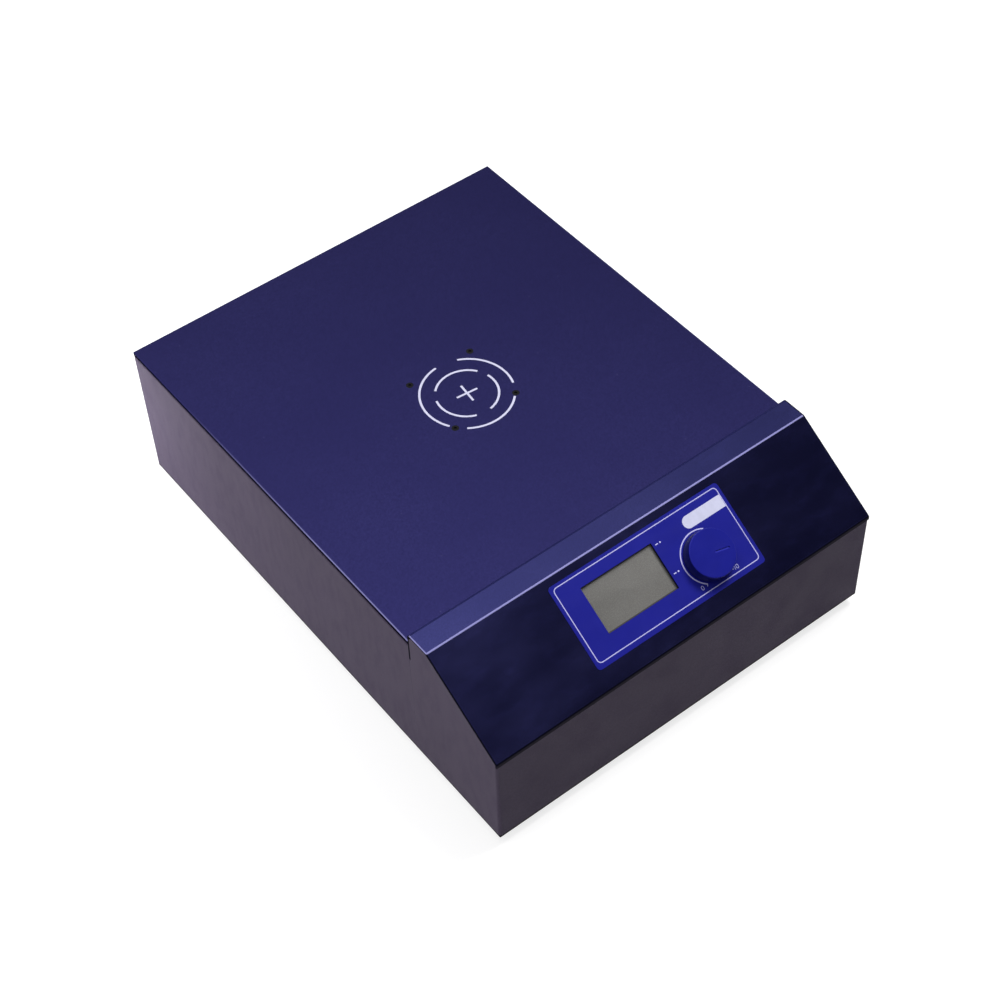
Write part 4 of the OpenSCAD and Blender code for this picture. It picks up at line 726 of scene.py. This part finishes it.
dress(metal("brass_bare", (0.66, 0.48, 0.21), 0.30), "pot_shaft", "inlet_pins", "switch_tabs",
      "earth_stud", "board_spacers")
dress(metal("lamination_stack", (0.16, 0.16, 0.17), 0.5, 2200, (0.02, 0.02, 4.0), 0.00005),
      "stator_core", "rotor_core")
dress(metal("copper_wire", (0.62, 0.25, 0.10), 0.28, 1500, (0.05, 0.05, 1.0), 0.00008),
      "stator_windings")
dress(moulded("motor_black", (0.020, 0.020, 0.022), 0.42, 1500, 0.00004), "motor_case")


# ---------------------------------------------------------------- power entry and switch
# A moulded power inlet with a fuse drawer under its socket, and a rocker switch, both in matte
# black nylon. The rocker carries a bar and a ring in white for on and off.
nylon = moulded("black_nylon", (0.016, 0.016, 0.018), 0.50, 1700, 0.00003, 0.4)
dress(nylon, "mains_inlet", "fuse_drawer", "switch_housing", "switch_rocker")
dress(window_clear, "fuses")
body_depth, entry_z = 395 * mm, 46 * mm
back_wall = body_front + body_depth
switch_at = Matrix.Translation((46 * mm, back_wall, body_low + entry_z))
outward = Matrix(((-1, 0, 0, 0), (0, 0, 1, 0), (0, 1, 0, 0), (0, 0, 0, 1)))
pivot_depth, face_middle, face_height = 3.4 * mm, 4 * mm, 4.79 * mm
face_tilt, rest_tilt = math.atan2(0.9, 7.4), math.radians(12)
pivot = (switch_at @ outward @ Matrix.Translation((0, 0, -pivot_depth))
         @ Matrix.Rotation(rest_tilt, 4, "X"))
upper, lower = (pivot @ Matrix.Translation((0, side * face_middle, face_height))
                @ Matrix.Rotation(side * face_tilt, 4, "X") for side in (1, -1))
bm = bmesh.new()
bar_w, bar_half, ring_w, ring_r = 0.7 * mm, 1.5 * mm, 0.6 * mm, 1.4 * mm
stripe(bm, upper, [(0, -bar_half), (0, bar_half)], bar_w, 0, ink_t)
stripe(bm, lower, arc_points((0, 0), ring_r, 0, 345, 23), ring_w, 0, ink_t, closed=True)
finish_piece("rocker_marks", bm, "rocker", ink("rocker_ink", (0.7, 0.7, 0.7)))


# ---------------------------------------------------------------- electronics
# Green glass-fibre boards on brass spacers over the base plate. Soldered to them are moulded
# packages, headers, finned heat sinks, sleeved capacitors and a taped ferrite transformer.
solder_mask, tree, shader = new_finish("solder_mask")
copper = ramp(tree, noise(tree, 260, 2.0, 0.5), 0.52, 0.54)
green = blend_colour(tree, copper, (0.010, 0.085, 0.035), (0.020, 0.150, 0.062))
surface(tree, shader, green, copper, (0.30, 0.22), copper, 0.00003)
dress(solder_mask, "display_board", "control_board", "supply_board")
board_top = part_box("control_board")[1].z / mm
control = [c / mm for c in (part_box("control_board")[0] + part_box("control_board")[1]) / 2]
supply = [c / mm for c in (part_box("supply_board")[0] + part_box("supply_board")[1]) / 2]


def on_board(board, x, y, z=0.0):
    return (board[0] + x, board[1] + y, board_top + z)


def block(bm, board, start, end, rounding=0.3, segments=2):
    """A box on a board between two corners, in millimetres, with every edge rounded."""
    low, high = on_board(board, *start), on_board(board, *end)
    corners = bmesh.ops.create_cube(bm, size=1)["verts"]
    for v in corners:
        for k in range(3):
            v.co[k] = high[k] if v.co[k] > 0 else low[k]
    edges = {e for v in corners for e in v.link_edges}
    bmesh.ops.bevel(bm, geom=list(edges), offset=rounding, segments=segments,
                    affect="EDGES", profile=0.5)


def turned(bm, base, profile, segments=28):
    """A turned form from (radius, height) pairs that start and end on its axis."""
    turns = [2 * math.pi * k / segments for k in range(segments)]
    skin(bm, [[bm.verts.new((base[0] + r * math.cos(turn), base[1] + r * math.sin(turn),
                             base[2] + z)) for turn in (turns if r else turns[:1])]
              for r, z in profile])


def make(name, bm, slot, finish, *stands_for):
    """Brings a mesh drawn in millimetres to metres and adds it to the chassis."""
    bmesh.ops.scale(bm, vec=(mm, mm, mm), verts=bm.verts)
    piece = finish_piece(name, bm, "chassis", finish, smooth=35)
    if stands_for:
        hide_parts(*stands_for)


# Packages: a controller with legs on all sides, three drivers, a relay and three headers,
# each a tray with walls round its pins.
bm, legs = bmesh.new(), bmesh.new()
block(bm, control, (-21.4, 10.6, 0.1), (-8.6, 23.4, 2.0), 0.25)
for step in range(-20, -9):
    for y0, y1 in ((10.05, 10.7), (23.3, 23.95)):
        block(legs, control, (step, y0, 0), (step + 0.4, y1, 0.9), 0.08, 1)
    for x0, x1 in ((-21.95, -21.3), (-8.7, -8.05)):
        block(legs, control, (x0, step + 32, 0), (x1, step + 32.4, 0.9), 0.08, 1)
for x in (-30, -18, -6):
    block(bm, control, (x + 0.6, -15.8, 0.2), (x + 6.4, -6.2, 3.9), 0.3)
    for k in range(6):
        y = -15.1 + k * 1.6
        for x0, x1 in ((x + 0.05, x + 0.7), (x + 6.3, x + 6.95)):
            block(legs, control, (x0, y, 0), (x1, y + 0.6, 1.8), 0.1, 1)
block(bm, supply, (22.1, 24.1, 0), (30.9, 39.9, 11.9), 0.6, 3)
pitch = 2.54
for board, x, y, count in ((control, -6, 40, 6), (control, 32, -36, 8), (supply, 14, 46, 4)):
    half = count * pitch / 2
    for x0, y0, z0, x1, y1, z1 in (
            (-half - 1, -3, 0, half + 1, 3, 2), (-half - 1, -3, 2, -half, 3, 8),
            (half, -3, 2, half + 1, 3, 8), (-half, -3, 2, half, -2, 8),
            (-half, 2, 2, half, 3, 8)):
        block(bm, board, (x + x0, y + y0, z0), (x + x1, y + y1, z1), 0.12, 1)
    for k in range(count):
        pin = x - half + pitch / 2 + pitch * k
        block(legs, board, (pin - 0.32, y - 0.32, 1.9), (pin + 0.32, y + 0.32, 6.5), 0.12, 1)
make("board_packages", bm, "board_component",
     moulded("board_package", (0.028, 0.028, 0.030), 0.55, 2000, 0.00002), "board_parts")
make("board_legs", legs, "zinc_steel", zinc)

# Heat sinks: extruded fins, brushed along their length.
bm = bmesh.new()
foot_t, fin_t = 3, 1.2
for board, x, y, wide, long, high, fins in ((control, 19, 10, 26, 50, 22, 9),
                                            (supply, -19, -42, 10, 26, 26, 4)):
    left, right, front, back = x - wide / 2, x + wide / 2, y - long / 2, y + long / 2
    block(bm, board, (left, front, 0), (right, back, foot_t), 0.2)
    for i in range(fins):
        fin = left + i * (wide - fin_t) / (fins - 1)
        block(bm, board, (fin, front, foot_t - 0.1), (fin + fin_t, back, high), 0.35)
make("heat_sinks", bm, "turned_aluminium",
     metal("extruded_aluminium", (0.66, 0.67, 0.69), 0.38, 900, (1.0, 0.05, 1.0)))

# Reservoir capacitors: aluminium cans in shrunk blue sleeves, with a scored vent on top.
bm, tops = bmesh.new(), bmesh.new()
for board, x, y, r, h in ((control, -32, 38, 5, 20), (control, -20, 38, 5, 20),
                          (control, -8, 38, 5, 20), (supply, 20, -42, 9, 30),
                          (supply, -26.5, 44, 5, 20), (supply, -13.5, 44, 5, 20)):
    sleeve = [(0, 0), (r - 0.5, 0), (r, 0.5), (r, 1.6), (r - 0.4, 2.2), (r, 2.8), (r, h - 0.9),
              (r - 0.3, h - 0.3), (r - 0.9, h - 0.1), (r - 1.1, h - 0.4), (0, h - 0.4)]
    turned(bm, on_board(board, x, y), sleeve)
    turned(tops, on_board(board, x, y, h - 0.5), [(0, 0), (r - 1.05, 0), (r - 1.05, 0.35),
                                                  (r - 1.3, 0.45), (0, 0.45)])
    for angle in (0, 60, 120):
        tip = pointing(angle) * (r - 1.8)
        stripe(tops, Matrix.Translation(on_board(board, x, y, h - 0.06)), [-tip, tip], 0.25, 0,
               0.05)
make("capacitor_sleeves", bm, "capacitor_sleeve",
     moulded("shrunk_sleeve", (0.030, 0.050, 0.200), 0.28, 1200, 0.00001))
make("capacitor_tops", tops, "turned_aluminium",
     metal("can_aluminium", (0.72, 0.73, 0.75), 0.25, 1500))

# Switching transformer: two ferrite E cores round a bobbin wound with yellow tape.
bm = bmesh.new()
for start, end in (((-16, -16, 0), (16, 14, 4)), ((-16, -16, 23), (16, 14, 27)),
                   ((-16, -16, 3.9), (-11, 14, 23.1)), ((11, -16, 3.9), (16, 14, 23.1))):
    block(bm, supply, start, end, 0.4)
make("transformer_core", bm, "ferrite",
     moulded("ferrite", (0.050, 0.050, 0.055), 0.62, 2600, 0.00004), "supply_parts")
bm = bmesh.new()
block(bm, supply, (-10.9, -18.9, 4.2), (10.9, 16.9, 22.8), 3.0, 5)
for y0, y1 in ((-14, -3), (1, 12)):
    block(bm, supply, (-10.98, y0, 4.08), (10.98, y1, 22.92), 2.9, 5)
make("transformer_winding", bm, "tape_yellow",
     moulded("winding_tape", (0.620, 0.430, 0.070), 0.34, 700, 0.00002))


# ---------------------------------------------------------------- wiring
# Single insulated leads, each from tag to tag on one smooth route and held by its own
# stiffness. The mains and earth leads end in sleeved push-on receptacles.
def route(stops, steps=9):
    """A smooth curve through the given stops."""
    stops = [Vector(stop) for stop in stops]
    ends = [stops[0]] + stops + [stops[-1]]
    path = []
    for a, b, c, d in zip(ends, ends[1:], ends[2:], ends[3:]):
        for k in range(steps):
            u = k / steps
            path.append(0.5 * (2 * b + (c - a) * u + (2 * a - 5 * b + 4 * c - d) * u * u
                               + (3 * b - a - 3 * c + d) * u * u * u))
    return path + [stops[-1]]


def lead(bm, *stops, radius=1.1, sides=14):
    """A round lead through the given stops, in millimetres, cut square at its ends."""
    path = route(stops)
    turns = [2 * math.pi * k / sides for k in range(sides)]
    side = Vector((0, 0, 1)).cross(path[1] - path[0])
    if side.length < 0.01:
        side = Vector((1, 0, 0))
    rings = []
    for i, point in enumerate(path):
        along = (path[min(i + 1, len(path) - 1)] - path[max(i - 1, 0)]).normalized()
        side = (side - side.dot(along) * along).normalized()
        up = along.cross(side)
        rings.append([bm.verts.new(point + radius * (math.cos(turn) * side
                                                     + math.sin(turn) * up)) for turn in turns])
    skin(bm, rings)


def pvc(name, colour):
    """Extruded PVC insulation: smooth, with faint drag lines and a little bloom."""
    finish, tree, shader = new_finish(name)
    bloom = place_group(tree, handling, Cells=160)
    grain = place_group(tree, pebble, Cells=3500)
    tone = blend_colour(tree, bloom["Cloud"], colour, shade(colour, 1.3))
    surface(tree, shader, tone, bloom["Rub"], (0.30, 0.46), grain["Height"], 0.000008)
    return finish


def receptacle(bm, tip, length=11, wide=7.0, high=3.2):
    """The flat nylon sleeve of a push-on receptacle, from the tag forward over the lead."""
    outline = [(-0.5, 0.28), (-0.28, 0.5), (0.28, 0.5), (0.5, 0.28), (0.5, -0.28),
               (0.28, -0.5), (-0.28, -0.5), (-0.5, -0.28)]
    along, side, up = Vector((0, -1, 0)), Vector((1, 0, 0)), Vector((0, 0, 1))
    skin(bm, [[bm.verts.new(Vector(tip) + along * t + side * (u * wide * scale)
                            + up * (v * max(high * scale, 2.5))) for u, v in outline]
              for t, scale in ((-5.5, 0.94), (-5.0, 1.0), (1.5, 1.0), (4.0, 0.62),
                               (length - 5.5, 0.5))])


# Tag positions on the inlet, the switch, the earth stud and the two boards.
back = back_wall / mm
inlet_tag, switch_tag, entry = back - 35, back - 25, (body_low + entry_z) / mm
pins_z, earth_z = entry + 4.4, entry + 8.8
plug = Vector(on_board(supply, 14, 46, 3))
mains = bmesh.new()
lead(mains, (85, inlet_tag, pins_z), (83, inlet_tag - 12, pins_z + 2),
     (68, inlet_tag - 20, pins_z + 6), (54, inlet_tag - 13, entry + 9),
     (46, switch_tag - 12, entry + 5.5), (46, switch_tag, entry + 5))
lead(mains, (46, switch_tag, entry - 5), (47, switch_tag - 14, entry - 6),
     (66, back - 58, entry - 8), plug + Vector((-8, 14, 17)), plug + Vector((-3, 2, 10)),
     plug + Vector((-3, 0, 0)))
lead(mains, (99, inlet_tag, pins_z), (100, inlet_tag - 14, pins_z - 3),
     (103, back - 64, entry - 4), plug + Vector((5, 13, 19)), plug + Vector((3, 2, 10)),
     plug + Vector((3, 0, 0)))
make("mains_lead_runs", mains, "lead_brown", pvc("pvc_brown", (0.110, 0.040, 0.018)),
     "mains_leads")
earth = bmesh.new()
lug = Vector((60, back - 41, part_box("earth_stud")[0].z / mm + 4.9))
lead(earth, (92, inlet_tag, earth_z), (91, inlet_tag - 13, earth_z - 2),
     (83, inlet_tag - 23, earth_z - 15), (70, inlet_tag - 25, earth_z - 31),
     lug + Vector((2, -11, 4)), lug)
make("earth_lead_run", earth, "lead_green", pvc("pvc_green", (0.130, 0.330, 0.030)),
     "earth_lead")
sleeves = bmesh.new()
for tag in ((85, inlet_tag, pins_z), (99, inlet_tag, pins_z), (92, inlet_tag, earth_z),
            (46, switch_tag, entry + 5), (46, switch_tag, entry - 5)):
    receptacle(sleeves, tag)
make("push_on_sleeves", sleeves, "lead_red", pvc("nylon_red", (0.380, 0.020, 0.018)))
joint_z = board_top + 0.15
pair = bmesh.new()
from_x, from_y, to_x, to_y = supply[0] - 25, supply[1] + 53.5, control[0] + 32, control[1] + 48
for off in (-1.6, 1.6):
    y0, y1 = from_y + off, to_y + off
    lead(pair, (from_x, y0, joint_z), (from_x - 0.5, y0, board_top + 6),
         (from_x - 8, y0, board_top + 13), (from_x - 43, y0 + 5, board_top + 15),
         (to_x + 36, y1 + 5, board_top + 15), (to_x + 8, y1, board_top + 13),
         (to_x + 0.5, y1, board_top + 6), (to_x, y1, joint_z))
make("supply_lead_run", pair, "lead_red", pvc("pvc_red", (0.420, 0.018, 0.016)), "supply_lead")
phases = bmesh.new()
cap_x, cap_z = -32.65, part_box("motor_end_cap")[0].z / mm + 2
for off in (-3, 0, 3):
    y = drive_centre.y / mm + off
    lead(phases, (cap_x, y, cap_z), (cap_x - 3, y, cap_z), (cap_x - 7, y + 4, cap_z - 3),
         (control[0] + 39.5, y + 8.5, board_top + 8), (control[0] + 39, y + 8.5, joint_z))
make("motor_lead_run", phases, "lead_black", pvc("pvc_black", (0.022, 0.022, 0.024)),
     "motor_lead")

# Sixteen-way grey ribbon to the display, with a groove each millimetre and one red edge.
ribbon_cable, tree, shader = new_finish("ribbon_cable")
rows = tree.nodes.new("ShaderNodeTexWave")
rows.bands_direction = "X"
rows.inputs["Scale"].default_value = 314
tree.links.new(here(tree), rows.inputs["Vector"])
rows = rows.outputs["Fac"]
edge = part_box("display_lead")[1].x
red_edge = ramp(tree, coordinate(tree, "X"), edge - 1.05 * mm, edge - 0.95 * mm)
# The grey is painted darker in each groove and lighter on each rib, as painted shade.
tone = blend_colour(tree, rows, (0.230, 0.235, 0.240), (0.340, 0.345, 0.350))
striped = blend_colour(tree, red_edge, tone, (0.450, 0.030, 0.025))
surface(tree, shader, striped, rows, (0.55, 0.42), rows, 0.0002)
dress(ribbon_cable, "display_lead")


# ---------------------------------------------------------------- feet
# Four feet moulded in black rubber, each with a recess for the screw's head that holds it to
# the base plate from below.
dress(rubber("foot_rubber", (0.014, 0.014, 0.015)), "foot_front_left", "foot_front_right",
      "foot_back_left", "foot_back_right")
